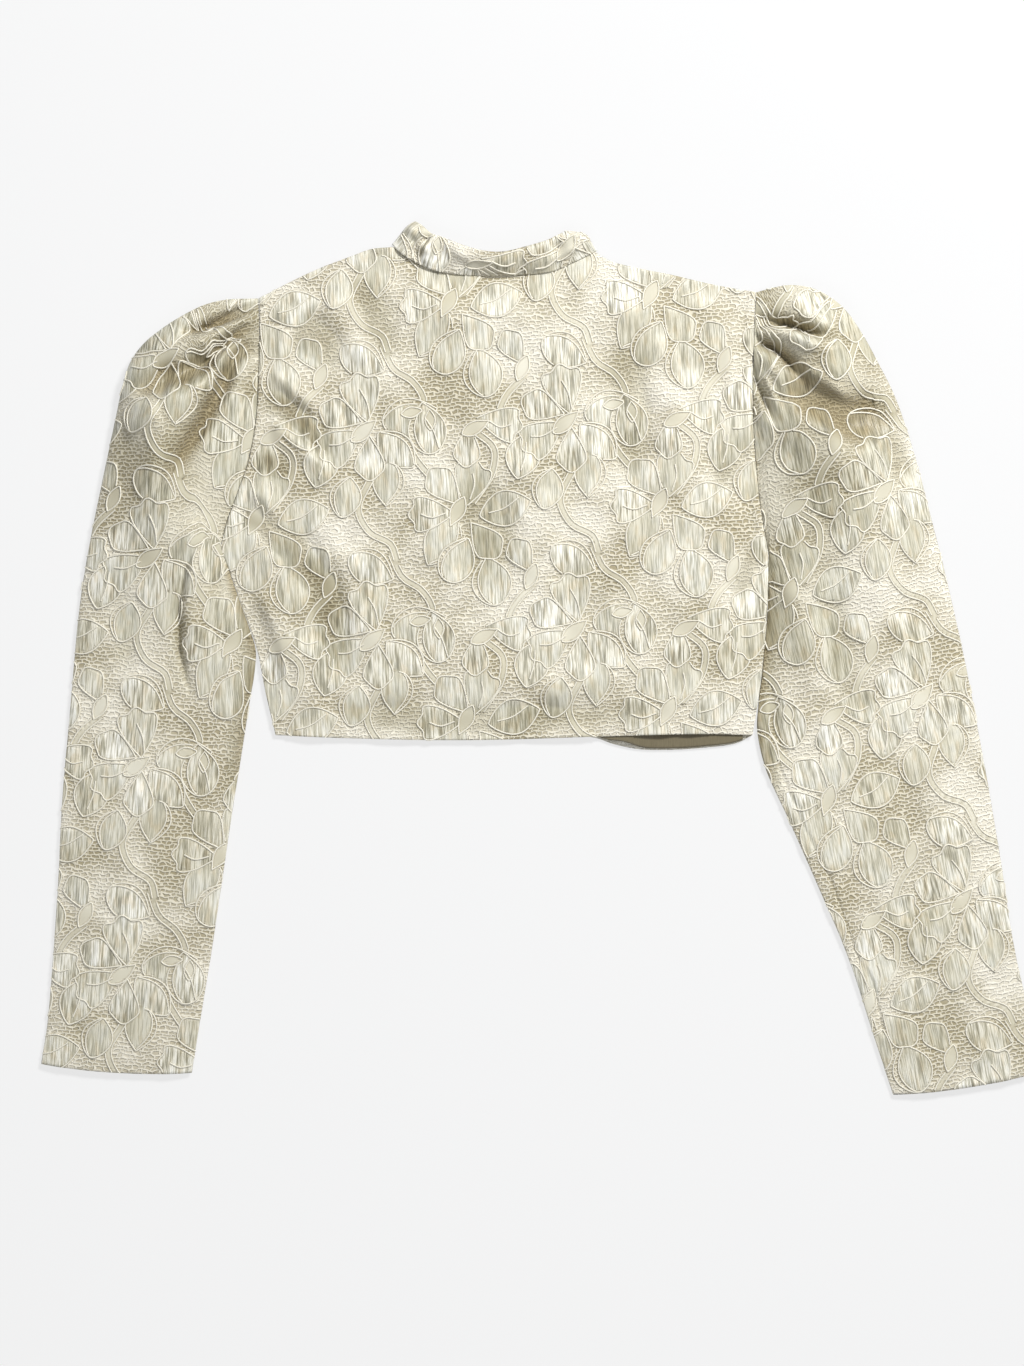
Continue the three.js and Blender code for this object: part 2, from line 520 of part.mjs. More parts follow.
// A sleeve: rings from the armhole to the cuff, each a flat underside with the top rising over it
function sleeveMesh(name, rows, armholePoints, folds, side) {
  const armhole = lineThrough(armholePoints);
  const value = (key, place) => columnValue(rows.map((row) => row[key]), place);
  const around = OVER_STEPS + UNDER_STEPS;
  const [outerRings, innerRings] = [[], []];
  for (let r = 0; r <= SLEEVE_RINGS; r += 1) {
    const place = (rows.length - 1) * (r / SLEEVE_RINGS) ** 1.12;
    const [ox, oy] = [value('ox', place), value('oy', place)];
    const [ix, iy] = [value('ix', place), value('iy', place)];
    const [crown, roll, full] = [value('crown', place), value('roll', place), value('full', place)];
    const edgeNormal = (keyX, keyY, sign) => {
      const [from, to] = [Math.max(place - 0.4, 0), Math.min(place + 0.4, rows.length - 1)];
      const [dx, dy] = [value(keyX, to) - value(keyX, from), value(keyY, to) - value(keyY, from)];
      const scale = sign * EDGE_INSET / Math.hypot(dx, dy);
      return [dy * scale, -dx * scale];
    };
    const chord = Math.hypot(ix - ox, iy - oy);
    const squareToSeam = smooth(0, 1.2, place);
    const inset = (keyX, keyY, way) => {
      const [nx, ny] = edgeNormal(keyX, keyY, way * side);
      const [cx, cy] = [way * (ix - ox) * EDGE_INSET / chord, way * (iy - oy) * EDGE_INSET / chord];
      return [mix(cx, nx, squareToSeam), mix(cy, ny, squareToSeam)];
    };
    const fromOuterEdge = inset('ox', 'oy', 1);
    const fromInnerEdge = inset('ix', 'iy', -1);
    const seamShare = (1 - smooth(0, 5, place)) ** 1.5;
    const bow = value('bow', place);
    const belly = CUFF_BELLY * smooth(rows.length - 3, rows.length - 1, place);
    const density = mix(HEAD_DENSITY, 1, smooth(0, 7, place));
    const foldShare = smooth(-0.6, 2.2, place);
    const [outerRing, innerRing] = [[], []];
    for (let k = 0; k < around; k += 1) {
      const over = k <= OVER_STEPS;
      const t = over ? k / OVER_STEPS : 1 - (k - OVER_STEPS) / UNDER_STEPS;
      const even = over ? t ** density : t;
      const c = mix(even, 0.5 - 0.5 * Math.cos(Math.PI * even), 0.5);
      const seamPoint = armhole(1 - c);
      const [firstX, firstY] = [mix(rows[0].ox, rows[0].ix, c), mix(rows[0].oy, rows[0].iy, c)];
      const planAt = (share) => {
        const bowed = side * bow * BOW_PEAK * share * share * (1 - share) / chord;
        return [
          mix(ox, ix, share) + (seamPoint[0] + side * SEAM_SHIFT - firstX) * seamShare - bowed * (iy - oy),
          mix(oy, iy, share) + (seamPoint[1] - firstY) * seamShare + bowed * (ix - ox)
            - belly * 4 * share * (1 - share),
        ];
      };
      const bulge = Math.sin(Math.PI * c);
      const lean = (1 - smooth(8, 13, place)) * smooth(0.2, 0.7, c);
      const arch = bulge ** full * (1 - UNDERARM_FALL * lean);
      const [x, y] = planAt(c);
      const nearOuter = Math.exp(-c * chord / EDGE_REACH);
      const nearInner = Math.exp(-(1 - c) * chord / EDGE_REACH);
      const innerX = x + fromOuterEdge[0] * nearOuter + fromInnerEdge[0] * nearInner;
      const innerY = y + fromOuterEdge[1] * nearOuter + fromInnerEdge[1] * nearInner;
      const fade = smooth(0, 0.06, c) * (1 - smooth(0.9, 1, c)) * foldShare;
      const rolled = mix(roll, Math.min(roll, 3.2), smooth(0.1, 0.6, c));
      const fold = over ? foldRise(folds, x, y) * fade : 0;
      const innerFold = over ? foldRise(folds, innerX, innerY) * fade : 0;
      const flat = Math.min(1, bulge * 3.2) ** 0.6;
      const outerZ = over ? rolled + (crown - rolled) * arch + fold : rolled * (1 - flat);
      const wallDown = mix(WALL, WALL * SLOPE_ALLOWANCE, smooth(0, 2, place) * (1 - smooth(9, 12, place)));
      const innerZ = over
        ? rolled + (crown - wallDown - rolled) * arch + innerFold
        : rolled - (rolled - WALL) * flat;
      outerRing.push([x, y, outerZ]);
      innerRing.push([innerX, innerY, innerZ]);
    }
    outerRings.push(outerRing);
    innerRings.push(innerRing);
  }
  return clothMesh(name, tubeGeometry(outerRings, innerRings, side < 0), CREAM);
}

const jacket = new THREE.Group();
jacket.name = 'bolero_jacket';
jacket.add(frontLeftMesh());
jacket.add(frontRightMesh());
jacket.add(liningMesh());
jacket.add(backMesh());
jacket.add(collarMesh());
const foldsLeft = [...headFoldsLeft, ...sleeveFoldsLeft];
const foldsRight = [...headFoldsRight, ...sleeveFoldsRight];
jacket.add(sleeveMesh('sleeve_left', sleeveLeftRows, armholeLeft, foldsLeft, -1));
jacket.add(sleeveMesh('sleeve_right', sleeveRightRows, armholeRight, foldsRight, 1));

export default jacket;
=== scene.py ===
# %% [markdown]
# # A cropped jacket of corded lace brocade, laid out flat
#
# The jacket lies on its front, so its back, the back half of each sleeve and the outside of its stand
# collar show. Every panel is one piece of cloth, so each becomes one thin shell, finer than the plain
# solid that it stands for, and takes its folds from a short table.

# %% Load the fixed frame
import json
import math

import bpy
import numpy as np
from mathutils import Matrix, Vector
from mathutils.bvhtree import BVHTree
from mathutils.geometry import tessellate_polygon

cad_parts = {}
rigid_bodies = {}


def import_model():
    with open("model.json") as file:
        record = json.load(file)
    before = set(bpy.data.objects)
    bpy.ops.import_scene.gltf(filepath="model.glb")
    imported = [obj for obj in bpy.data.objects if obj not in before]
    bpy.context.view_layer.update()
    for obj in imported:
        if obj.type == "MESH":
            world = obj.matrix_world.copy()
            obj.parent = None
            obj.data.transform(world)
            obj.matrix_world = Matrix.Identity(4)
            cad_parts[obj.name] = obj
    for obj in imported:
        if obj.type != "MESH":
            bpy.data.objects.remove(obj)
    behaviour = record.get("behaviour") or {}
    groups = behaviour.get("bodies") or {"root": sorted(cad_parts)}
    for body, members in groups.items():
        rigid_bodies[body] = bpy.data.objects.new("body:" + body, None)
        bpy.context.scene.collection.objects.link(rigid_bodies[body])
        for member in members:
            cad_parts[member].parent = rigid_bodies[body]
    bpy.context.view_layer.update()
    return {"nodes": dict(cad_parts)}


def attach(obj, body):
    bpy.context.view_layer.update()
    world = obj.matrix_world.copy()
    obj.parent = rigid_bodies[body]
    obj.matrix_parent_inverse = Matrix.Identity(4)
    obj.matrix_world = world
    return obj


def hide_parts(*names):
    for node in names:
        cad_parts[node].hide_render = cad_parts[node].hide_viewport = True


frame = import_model()
MM = 0.001
print("solids:", sorted(frame["nodes"]))

# %% [markdown]
# ## The camera
#
# The photo looks straight down. One pixel of its 1024 x 1366 frame is 0.77 mm on the surface, and the
# right cuff runs out of the frame, as it does here. The camera comes first because every later choice of
# detail is made against what it sees.

# %% A camera that looks straight down
MM_PER_PIXEL = 0.77
FRAME_PIXELS = (1024, 1366)
ORIGIN_PIXEL = (543, 658)
CAMERA_HEIGHT = 1.9
SENSOR = 36.0


def put(name, data):
    """A new object in the scene for a mesh, a lamp or a camera."""
    item = bpy.data.objects.new(name, data)
    bpy.context.scene.collection.objects.link(item)
    return item


camera = put("camera", bpy.data.cameras.new("camera"))
bpy.context.scene.camera = camera
camera.location = (
    (FRAME_PIXELS[0] / 2 - ORIGIN_PIXEL[0]) * MM_PER_PIXEL * MM,
    (ORIGIN_PIXEL[1] - FRAME_PIXELS[1] / 2) * MM_PER_PIXEL * MM,
    CAMERA_HEIGHT,
)
camera.data.sensor_width = SENSOR
camera.data.lens = SENSOR * CAMERA_HEIGHT / (FRAME_PIXELS[1] * MM_PER_PIXEL * MM)
print("lens", round(camera.data.lens, 1), "mm")

# %% [markdown]
# ## The outlines and the folds
#
# These are named sizes in millimetres: a few points for each seam and hem, a row for each section of a
# sleeve or of the collar, and a row for each fold. Outlines and sections are the solids' own, but for three
# places that follow the photo more closely here: the collar's visible rows sit lower in their middle, the
# inner edges of the sleeves lie nearer to the body, and the turned edge beside the lining is wider.

# %% Outline of the body, as points of x and y
# Thickness of the two cloths, and the gap between layers that lie on one another
WALL = 1.8
LINING_WALL = 1.0
SEAM_GAP = 0.3
# How high the back rises in its middle, at its hem, along its armholes and over the strip of lining
BACK_UNDER = WALL + SEAM_GAP
BACK_LIFT = 3.2
HEM_LIFT = 1.9
ARMHOLE_LIFT = 1.0
LINING_LIFT = LINING_WALL + 0.2
# The share of its lift that a trough leaves, and the share of the panel over which its edges come down
LEAST_LIFT = 0.35
BACK_EDGE_BAND = 0.11
# Steps of the grid along each seam
SHOULDER_STEPS, NECK_STEPS, SIDE_STEPS, ARMHOLE_STEPS = 8, 9, 8, 12

HEM = [(-205.6, -59.3), (-164, -61.2), (-87, -63.1), (-33, -62.8), (44, -60.4), (121, -58.5), (160.9, -59.3)]
SIDE_LEFT = [(-205.6, -59.3), (-213.3, -26.2), (-220.2, 7.7), (-231, 38.5), (-241.8, 69.3), (-247.6, 84.7)]
SIDE_RIGHT = [(160.9, -59.3), (166.3, -24.6), (170.2, 10), (172.5, 44.7), (173.2, 78.5)]
ARMHOLE_LEFT = [
    (-247.6, 84.7), (-243, 104), (-235, 126), (-226.4, 150.9),
    (-221, 179.4), (-218.7, 210.2), (-217.9, 241), (-218.3, 276.4),
]
ARMHOLE_RIGHT = [
    (173.2, 78.5), (166.3, 121.7), (162.5, 160.2),
    (160.9, 198.7), (161.8, 244.9), (163.2, 281.1),
]
SHOULDER_LEFT = [
    (-218.3, 276.4), (-191.7, 290.3), (-166.7, 301.5),
    (-146.5, 309), (-131.7, 314.2), (-114.7, 315.7),
]
SHOULDER_RIGHT = [(39.3, 312.6), (51.6, 305.2), (76.2, 298.8), (101.6, 293.8), (127, 287.6), (163.2, 281.1)]
NECK = [
    (-114.7, 315.7), (-103.2, 307.2), (-83.9, 298.8), (-64.7, 295.3),
    (-29.3, 294.5), (5.4, 297.2), (22.3, 304.2), (39.3, 312.6),
]
FRONT_HEM_RIGHT = [
    (-27, -57.5), (13.1, -58.6), (41.6, -61.8), (53.1, -65.9), (73.2, -70.1),
    (96.2, -70.7), (120.9, -69.3), (149, -65.5), (160.9, -59.3),
]
print("body width", SIDE_RIGHT[-1][0] - SIDE_LEFT[-1][0], "mm")

# %% Sections of the sleeves
# Columns: outer edge x, y; inner edge x, y; bow away from the body; crown; roll of the outer edge; arch
OX, OY, IX, IY, BOW, CROWN, ROLL, ARCH = range(8)
SLEEVE_LEFT = [
    (-218.8, 276.8, -248.4, 84.5, 0, 5.4, 2.6, 0.45),
    (-242.1, 275.4, -246.4, 77, 16, 21, 6.5, 0.62),
    (-260, 270.6, -242.9, 68, 21, 31, 9.5, 0.7),
    (-278, 261, -239.8, 59, 21, 37, 11.5, 0.74),
    (-293, 251, -236.6, 50, 20, 40, 12, 0.76),
    (-305.5, 240.6, -233.4, 41, 19, 40, 12, 0.76),
    (-316, 226.5, -229.8, 31, 18, 38, 11, 0.74),
    (-322.5, 207, -225.7, 19, 17, 34, 9.5, 0.7),
    (-329.5, 176.5, -222.2, 6, 15, 28, 7.5, 0.64),
    (-337.3, 141, -222.8, -9, 12, 21, 5.8, 0.56),
    (-347.5, 92, -225.3, -27, 8, 15, 4.6, 0.48),
    (-356.3, 38.5, -227.6, -47, 5, 10.6, 3.8, 0.4),
    (-363.2, -36, -233, -82, 2, 7.6, 3.3, 0.32),
    (-369.6, -109, -239.8, -125, 0, 7.4, 3.2, 0.3),
    (-372.7, -171.7, -247.2, -175, 0, 7.4, 3.2, 0.3),
    (-376.5, -227.2, -255, -227, 0, 7.2, 3.1, 0.3),
    (-380.6, -277, -263.6, -279, 0, 6.8, 3, 0.3),
    (-385.8, -311.9, -269.9, -318.8, 0, 6.4, 2.9, 0.3),
]
SLEEVE_RIGHT = [
    (163.7, 281.5, 174, 78.2, 0, 5.4, 2.6, 0.45),
    (177.5, 284.8, 174.6, 68, 7, 19, 6, 0.62),
    (190, 286, 174.5, 58, 12, 29, 9, 0.7),
    (204, 283.8, 174.2, 49, 15, 37, 11, 0.74),
    (218, 277, 173.9, 40, 17, 41, 12, 0.76),
    (231, 266.5, 173.3, 30, 18, 42, 12, 0.76),
    (243, 250, 172.6, 20, 18, 40, 11.5, 0.75),
    (255, 229, 171.6, 9, 17, 36.5, 10.5, 0.72),
    (270.3, 199, 170.4, -4, 15, 30, 8.6, 0.66),
    (284.5, 158, 168.9, -18, 12, 22.5, 6.4, 0.58),
    (298, 108, 166.4, -36, 8, 15.5, 4.8, 0.48),
    (311, 57, 164.6, -56, 5, 10.8, 3.9, 0.4),
    (325, -6, 171.4, -86, 2, 7.8, 3.4, 0.32),
    (338.6, -78, 189.5, -126, 0, 7.4, 3.2, 0.3),
    (350.5, -147, 211.6, -176, 0, 7.4, 3.2, 0.3),
    (360.4, -212, 234.4, -230, 0, 7.2, 3.1, 0.3),
    (371.5, -264, 254, -290, 0, 6.8, 3, 0.3),
    (385.8, -317.2, 269.1, -335.7, 0, 6.4, 2.9, 0.3),
]
# Bow of the cuff's edge, gap at the armhole seam, and how far the inner edge lies nearer to the body
CUFF_BELLY = 3.2
SEAM_SHIFT = 0.45
NEARER_BODY = 1.35
# The wrong side's inset at the two edges, how far in it evens out, and the upright wall on a steep slope
EDGE_INSET, EDGE_REACH, SLOPE_ALLOWANCE = 2.0, 5, 1.3
# The share of the arch that is lost towards the underarm, and the height that a slit always leaves
UNDERARM_FALL = 0.56
LEAST_SLEEVE_HEIGHT = 4.0
# A bow of t * t * (1 - t) times this is 1 at its highest
BOW_PEAK = 6.75
# Steps over the top, under it and along the sleeve, and how the points crowd to the head's outer edge
OVER_STEPS, UNDER_STEPS, SLEEVE_RINGS = 26, 10, 32
HEAD_DENSITY = 1.45
print("sleeve sections:", len(SLEEVE_LEFT), "and", len(SLEEVE_RIGHT))

# %% Sections of the collar band
# Columns: seam edge x, y, z, then free edge x, y, z, at the middle of the cloth
COLLAR = [
    (-30.8, 226.3, 0.9, -30.8, 255, 0.9),
    (-57, 231, 0.9, -50, 258.5, 0.9),
    (-81, 246, 0.9, -65, 269, 0.9),
    (-98, 268, 0.9, -76, 286, 0.9),
    (-107.5, 291, 0.9, -85, 305, 0.9),
    (-111, 312.4, 0.9, -92, 327, 1.0),
    (-115.4, 317.2, 3.1, -98, 334.6, 4.1),
    (-109.5, 310.6, 5.5, -92.5, 331.4, 8.8),
    (-97.5, 303.6, 5.4, -86, 325.4, 10),
    (-84.6, 297.8, 5.4, -78.6, 322.6, 11.5),
    (-65.2, 294.3, 5.4, -61, 315.4, 14),
    (-46, 293.4, 5.4, -44, 310.6, 15.5),
    (-29.3, 293.5, 5.4, -29, 310.4, 15.5),
    (-12, 294.4, 5.4, -13.4, 314.4, 14),
    (5.7, 296.2, 5.4, 2.8, 319.6, 12.5),
    (20.8, 302.5, 5.4, 11, 324, 9.5),
    (34.7, 309.2, 5.5, 17.8, 327, 8.4),
    (40.8, 312.4, 3.1, 26.6, 325.4, 3.9),
    (37.4, 311, 0.9, 18, 322.4, 1.0),
    (32, 289, 0.9, 9, 301, 0.9),
    (22, 266, 0.9, 0, 283, 0.9),
    (5.5, 245, 0.9, -10, 267.5, 0.9),
    (-12, 232, 0.9, -18.5, 258.5, 0.9),
    (-27.2, 226.3, 0.9, -27.2, 255, 0.9),
]
COLLAR_FOLD_LEFT, COLLAR_FOLD_RIGHT = 6, 17
# How far the middle of the band rolls outward at each section
COLLAR_ROLL = [
    0, 0, 0, 0, 0, 0.8, 1.6, 2.4, 2.6, 2.4, 2.4, 2.2,
    2.2, 2.4, 2.4, 2.6, 3.2, 2.6, 0.8, 0, 0, 0, 0, 0,
]
print("collar sections:", len(COLLAR))

# %% [markdown]
# Each fold is a line of points with a half width, a rise (a trough where it is negative), how crisp it is
# (2 is a soft swell, 1.3 is a sharp crease) and where it is at its full height: from the seam on for a
# gather, all along for a seam line, and only in the middle for the rest. The gathers of the two sleeve
# heads are the deepest: two slits lie under rounded ridges, and a third runs on down the sleeve.

# %% Folds of the body and of each sleeve
FREE, GATHER, LINE = range(3)
BODY_FOLDS = [
    ([(-199, 122), (-187, 76), (-166, 58), (-160, 14), (-149, -25)], 12, -6.5, 1.7, FREE),
    ([(-222, 62), (-212, 30), (-196, 4), (-184, -40)], 14, 4.6, 2, FREE),
    ([(-182, 104), (-164, 84), (-144, 40), (-134, 0)], 12, 3.4, 2, FREE),
    ([(-217, 222), (-200, 212), (-182, 196), (-166, 178)], 7, 4.4, 1.8, FREE),
    ([(-216, 206), (-196, 192), (-176, 168), (-160, 146)], 10, -7.5, 1.6, FREE),
    ([(-196, 254), (-168, 242), (-138, 222)], 15, -5, 2, FREE),
    ([(-216, 184), (-196, 172), (-176, 152), (-164, 128)], 8, 4.6, 1.8, FREE),
    ([(-222, 158), (-206, 150), (-192, 134)], 8, -6, 1.6, FREE),
    ([(-236, 112), (-214, 100), (-196, 74)], 7, -5, 1.6, FREE),
    ([(-234, 128), (-216, 124), (-202, 108)], 7, 3.6, 1.8, FREE),
    ([(161, 176), (144, 154), (128, 116)], 9, -4, 1.7, FREE),
    ([(161, 140), (144, 112), (134, 58)], 11, 3.6, 2, FREE),
    ([(168, 92), (156, 66), (150, 30)], 8, -4, 1.7, FREE),
    ([(150, 270), (146, 230), (148, 190)], 8, 2.6, 2, FREE),
    ([(-84, 282), (-60, 262), (-20, 258), (6, 276)], 14, 2.6, 2, FREE),
    ([(-150, 300), (-128, 262), (-118, 220)], 11, -4, 1.8, FREE),
    ([(-168, 286), (-152, 250), (-146, 214)], 12, 3, 2, FREE),
    ([(-60, -8), (10, -22), (84, -12)], 16, 2.6, 2, FREE),
    ([(-176, -42), (-80, -48), (0, -44), (120, -44)], 11, -4, 1.8, FREE),
    ([(60, 250), (70, 190), (64, 120)], 16, -4, 2, FREE),
    ([(96, 230), (104, 170), (98, 110)], 18, 3, 2, FREE),
    ([(-60, 150), (-40, 96), (-52, 40)], 18, -4, 2, FREE),
    ([(-20, 170), (2, 110), (-6, 40)], 20, 2.8, 2, FREE),
]
FOLDS_LEFT = [
    ([(-217, 271), (-231, 266), (-243, 260), (-255, 254), (-268, 250), (-282, 248)], 4.2, -15, 1.5, GATHER),
    ([(-217, 263), (-231, 257), (-245, 249), (-259, 241), (-276, 237), (-292, 236)], 6, 5, 2, GATHER),
    ([(-217, 257), (-231, 251), (-241, 244), (-249, 237), (-256, 229), (-267, 222),
      (-282, 219)], 4.4, -16, 1.5, GATHER),
    ([(-250, 232), (-262, 222), (-276, 216), (-291, 215), (-306, 213)], 10, -12, 2, FREE),
    ([(-217, 250), (-230, 245), (-240, 235), (-247, 222), (-252, 205)], 4.2, 5, 2, GATHER),
    ([(-217, 242), (-228, 239), (-235, 233), (-239, 225), (-243, 214), (-250, 201), (-256, 191), (-262, 178),
      (-272, 161), (-281, 146), (-296, 130), (-310, 116)], 7.5, -14, 1.6, GATHER),
    ([(-250, 224), (-259, 204), (-268, 186), (-279, 168)], 8, 4, 2, FREE),
    ([(-217, 229), (-228, 220), (-236, 200), (-246, 172)], 6, 3.4, 2, GATHER),
    ([(-217, 221), (-225, 208), (-230, 190)], 3.6, -4, 1.5, GATHER),
    ([(-282, 204), (-298, 207), (-316, 200)], 9, -7, 2, FREE),
    ([(-288, 186), (-304, 180), (-322, 168)], 10, 4, 2, FREE),
    ([(-252, 113), (-266, 88), (-270, 62), (-269, 18), (-262, -22)], 9, 5, 2, FREE),
    ([(-260, 96), (-273, 68), (-279, 40), (-279, 10), (-275, -14), (-266, -38)], 3.2, -6, 1.4, FREE),
    ([(-246, 84), (-252, 66), (-250, 44)], 5, -4, 1.7, FREE),
    ([(-330, 60), (-318, 20), (-322, -30)], 13, -2.6, 2, FREE),
    ([(-300, -90), (-322, -140), (-318, -200)], 14, 2, 2, FREE),
    ([(-258, -120), (-276, -150), (-284, -200)], 9, -2, 1.7, FREE),
    ([(-366, -248), (-357, -286), (-350, -300)], 6, -1.4, 1.6, FREE),
]
FOLDS_RIGHT = [
    ([(161, 257), (176, 257), (188, 255), (201, 250), (211, 246), (224, 243)], 4.8, -16, 1.5, GATHER),
    ([(161, 250), (178, 250), (192, 245), (204, 238), (216, 234), (230, 236)], 5.6, 5, 2, GATHER),
    ([(161, 245), (167, 242), (176, 238), (185, 230), (192, 220), (200, 208)], 4.2, -14, 1.5, GATHER),
    ([(180, 230), (198, 206), (215, 193), (235, 183), (255, 183), (274, 190)], 18, -15, 2.4, FREE),
    ([(196, 224), (212, 210), (228, 200), (246, 196)], 5, 5, 2, FREE),
    ([(161, 229), (167, 215), (174, 203), (184, 180)], 3.4, 4.4, 2, GATHER),
    ([(161, 222), (165, 210), (170, 196), (179, 174)], 3, -7, 1.5, GATHER),
    ([(161, 205), (168, 186), (176, 160)], 5, 3, 2, GATHER),
    ([(161, 236), (170, 226), (180, 212), (190, 192), (204, 172)], 5, 3, 2, GATHER),
    ([(258, 166), (272, 150), (282, 124)], 10, -3.6, 2, FREE),
    ([(176, 70), (196, 40), (206, 0), (206, -40)], 12, 3.6, 2, FREE),
    ([(170, 22), (171, -10), (177, -50), (186, -88)], 5, -5, 1.6, FREE),
    ([(212, 60), (226, 10), (232, -60)], 12, -3, 2, FREE),
    ([(250, 90), (262, 40), (268, -20)], 12, 2, 2, FREE),
    ([(290, -60), (300, -120), (318, -180)], 14, 2.2, 2, FREE),
    ([(169, 1), (168, -38), (174, -60), (182, -86), (198, -125), (221, -171), (242, -232), (253, -248),
      (261, -288)], 1.3, -1.6, 1.6, LINE),
]
print("folds:", len(BODY_FOLDS) + len(FOLDS_LEFT) + len(FOLDS_RIGHT))

# %% [markdown]
# ## Small helpers for lines and tables
#
# A seam is a smooth line through its few points, read at equal steps of length. A table column is read
# between its rows. A fold's height falls off softly with the distance from its line.


# %% Helpers for lines and tables
def mix(a, b, t):
    return a + (b - a) * t


def smooth(low, high, x):
    """From 0 to 1 between two places, with a soft start and a soft end."""
    t = np.clip((np.asarray(x, float) - low) / (high - low), 0, 1)
    return t * t * (3 - 2 * t)


def plateau(places, x):
    """From 0 to 1 between the first two places, and back to 0 between the last two."""
    rise_from, rise_to, fall_from, fall_to = places
    return smooth(rise_from, rise_to, x) * (1 - smooth(fall_from, fall_to, x))


def hermite(a, b, slope_a, slope_b, t):
    return (
        (2 * t**3 - 3 * t**2 + 1) * a + (t**3 - 2 * t**2 + t) * slope_a
        + (3 * t**2 - 2 * t**3) * b + (t**3 - t**2) * slope_b
    )


def length_along(line):
    return np.concatenate([[0], np.cumsum(np.linalg.norm(np.diff(line, axis=0), axis=1))])


def to_span(x, y, start, end):
    """Distance of places from one span of a line, and where along the span it is measured."""
    (ax, ay), (bx, by) = start, end
    t = np.clip(((x - ax) * (bx - ax) + (y - ay) * (by - ay)) / ((bx - ax) ** 2 + (by - ay) ** 2), 0, 1)
    return np.hypot(x - mix(ax, bx, t), y - mix(ay, by, t)), t


def line_through(points, samples=60):
    """A smooth line through a few points, read by its share of length."""
    p = np.array(points, float)
    p = np.vstack([2 * p[0] - p[1], p, 2 * p[-1] - p[-2]])
    dense = []
    for i in range(1, len(p) - 2):
        p0, p1, p2, p3 = p[i - 1:i + 3]
        d0, d1, d2 = (np.linalg.norm(b - a) ** 0.5 for a, b in ((p0, p1), (p1, p2), (p2, p3)))
        m1 = ((p1 - p0) / d0 - (p2 - p0) / (d0 + d1) + (p2 - p1) / d1) * d1
        m2 = ((p2 - p1) / d1 - (p3 - p1) / (d1 + d2) + (p3 - p2) / d2) * d1
        dense.append(hermite(p1, p2, m1, m2, np.linspace(0, 1, samples, endpoint=False)[:, None]))
    dense = np.vstack([*dense, p[-2]])
    length = length_along(dense)

    def at(t):
        s = np.clip(np.asarray(t, float), 0, 1) * length[-1]
        return np.stack([np.interp(s, length, dense[:, k]) for k in range(dense.shape[1])], axis=-1)

    return at


def column_value(values, place):
    """A table column read between its rows."""
    v = np.array(values, float)
    padded = np.concatenate([[2 * v[0] - v[1]], v, [2 * v[-1] - v[-2]]])
    row = np.minimum(np.floor(place).astype(int), len(v) - 2)
    t = place - row
    before, a, b, after = (padded[row + k] for k in range(4))
    return hermite(a, b, (b - before) / 2, (after - a) / 2, t)


FAR = 1e9
# Shares of a fold's length where it is full, and from where it fades
FOLD_FULL_FROM, FOLD_FADES_FROM = 0.25, 0.6


def fold_rise(folds, x, y):
    rise = np.zeros_like(x)
    for line, width, height, crisp, kind in folds:
        best = np.full_like(x, FAR)
        along = np.zeros_like(x)
        spans = len(line) - 1
        for k, (start, end) in enumerate(zip(line, line[1:])):
            distance, t = to_span(x, y, start, end)
            nearer = distance < best
            best = np.where(nearer, distance, best)
            along = np.where(nearer, (k + t) / spans, along)
        opens = smooth(0, FOLD_FULL_FROM, along) if kind == FREE else 1
        closes = 1 if kind == LINE else 1 - smooth(FOLD_FADES_FROM, 1, along)
        rise += height * opens * closes * np.exp(-((best / width) ** crisp))
    return rise


print("middle of the back hem:", line_through(HEM)(0.5).round(1).tolist())

# %% [markdown]
# Real cloth is never smooth between its folds. A sum of a few long, slow waves in fixed directions gives
# the same soft unevenness each run, with nothing random in it.


# %% Slow unevenness of the cloth
# Columns: direction x, y, length in mm, phase
WAVES = [
    (0.9, 0.35, 62, 0.4),
    (-0.5, 0.86, 47, 1.9),
    (0.2, -0.98, 33, 3.1),
    (0.77, 0.64, 24, 5.2),
    (-0.94, 0.3, 18, 0.9),
]
LONGEST_WAVE = 62
# Each wave's crests bend to and fro, so that no two waves make a grid
CREST_BEND, CREST_BEND_LENGTH = 1.6, 1.7


def unevenness(x, y):
    total = np.zeros_like(x)
    for dx, dy, length, phase in WAVES:
        bend = CREST_BEND * np.sin((x * dy - y * dx) / (CREST_BEND_LENGTH * length) + phase)
        total += length / LONGEST_WAVE * np.sin(2 * math.pi * (x * dx + y * dy) / length + phase + bend)
    return total / 2


print("waves:", len(WAVES))

# %% [markdown]
# ## The lace pattern
#
# The cloth is a corded lace: fan-shaped petals and pointed leaves of lustrous, streaky satin, and curving
# stems and small narrow leaves of plain satin, all outlined with a raised gimp cord on a ground of fine net.
# Its repeat is about 155 mm x 160 mm. The motifs are charted a row for each leaf or petal, so that
# one short chart gives the cloth its colour, its relief and the lines of its cords.

# %% Chart of one repeat
REPEAT = (155.0, 160.0)
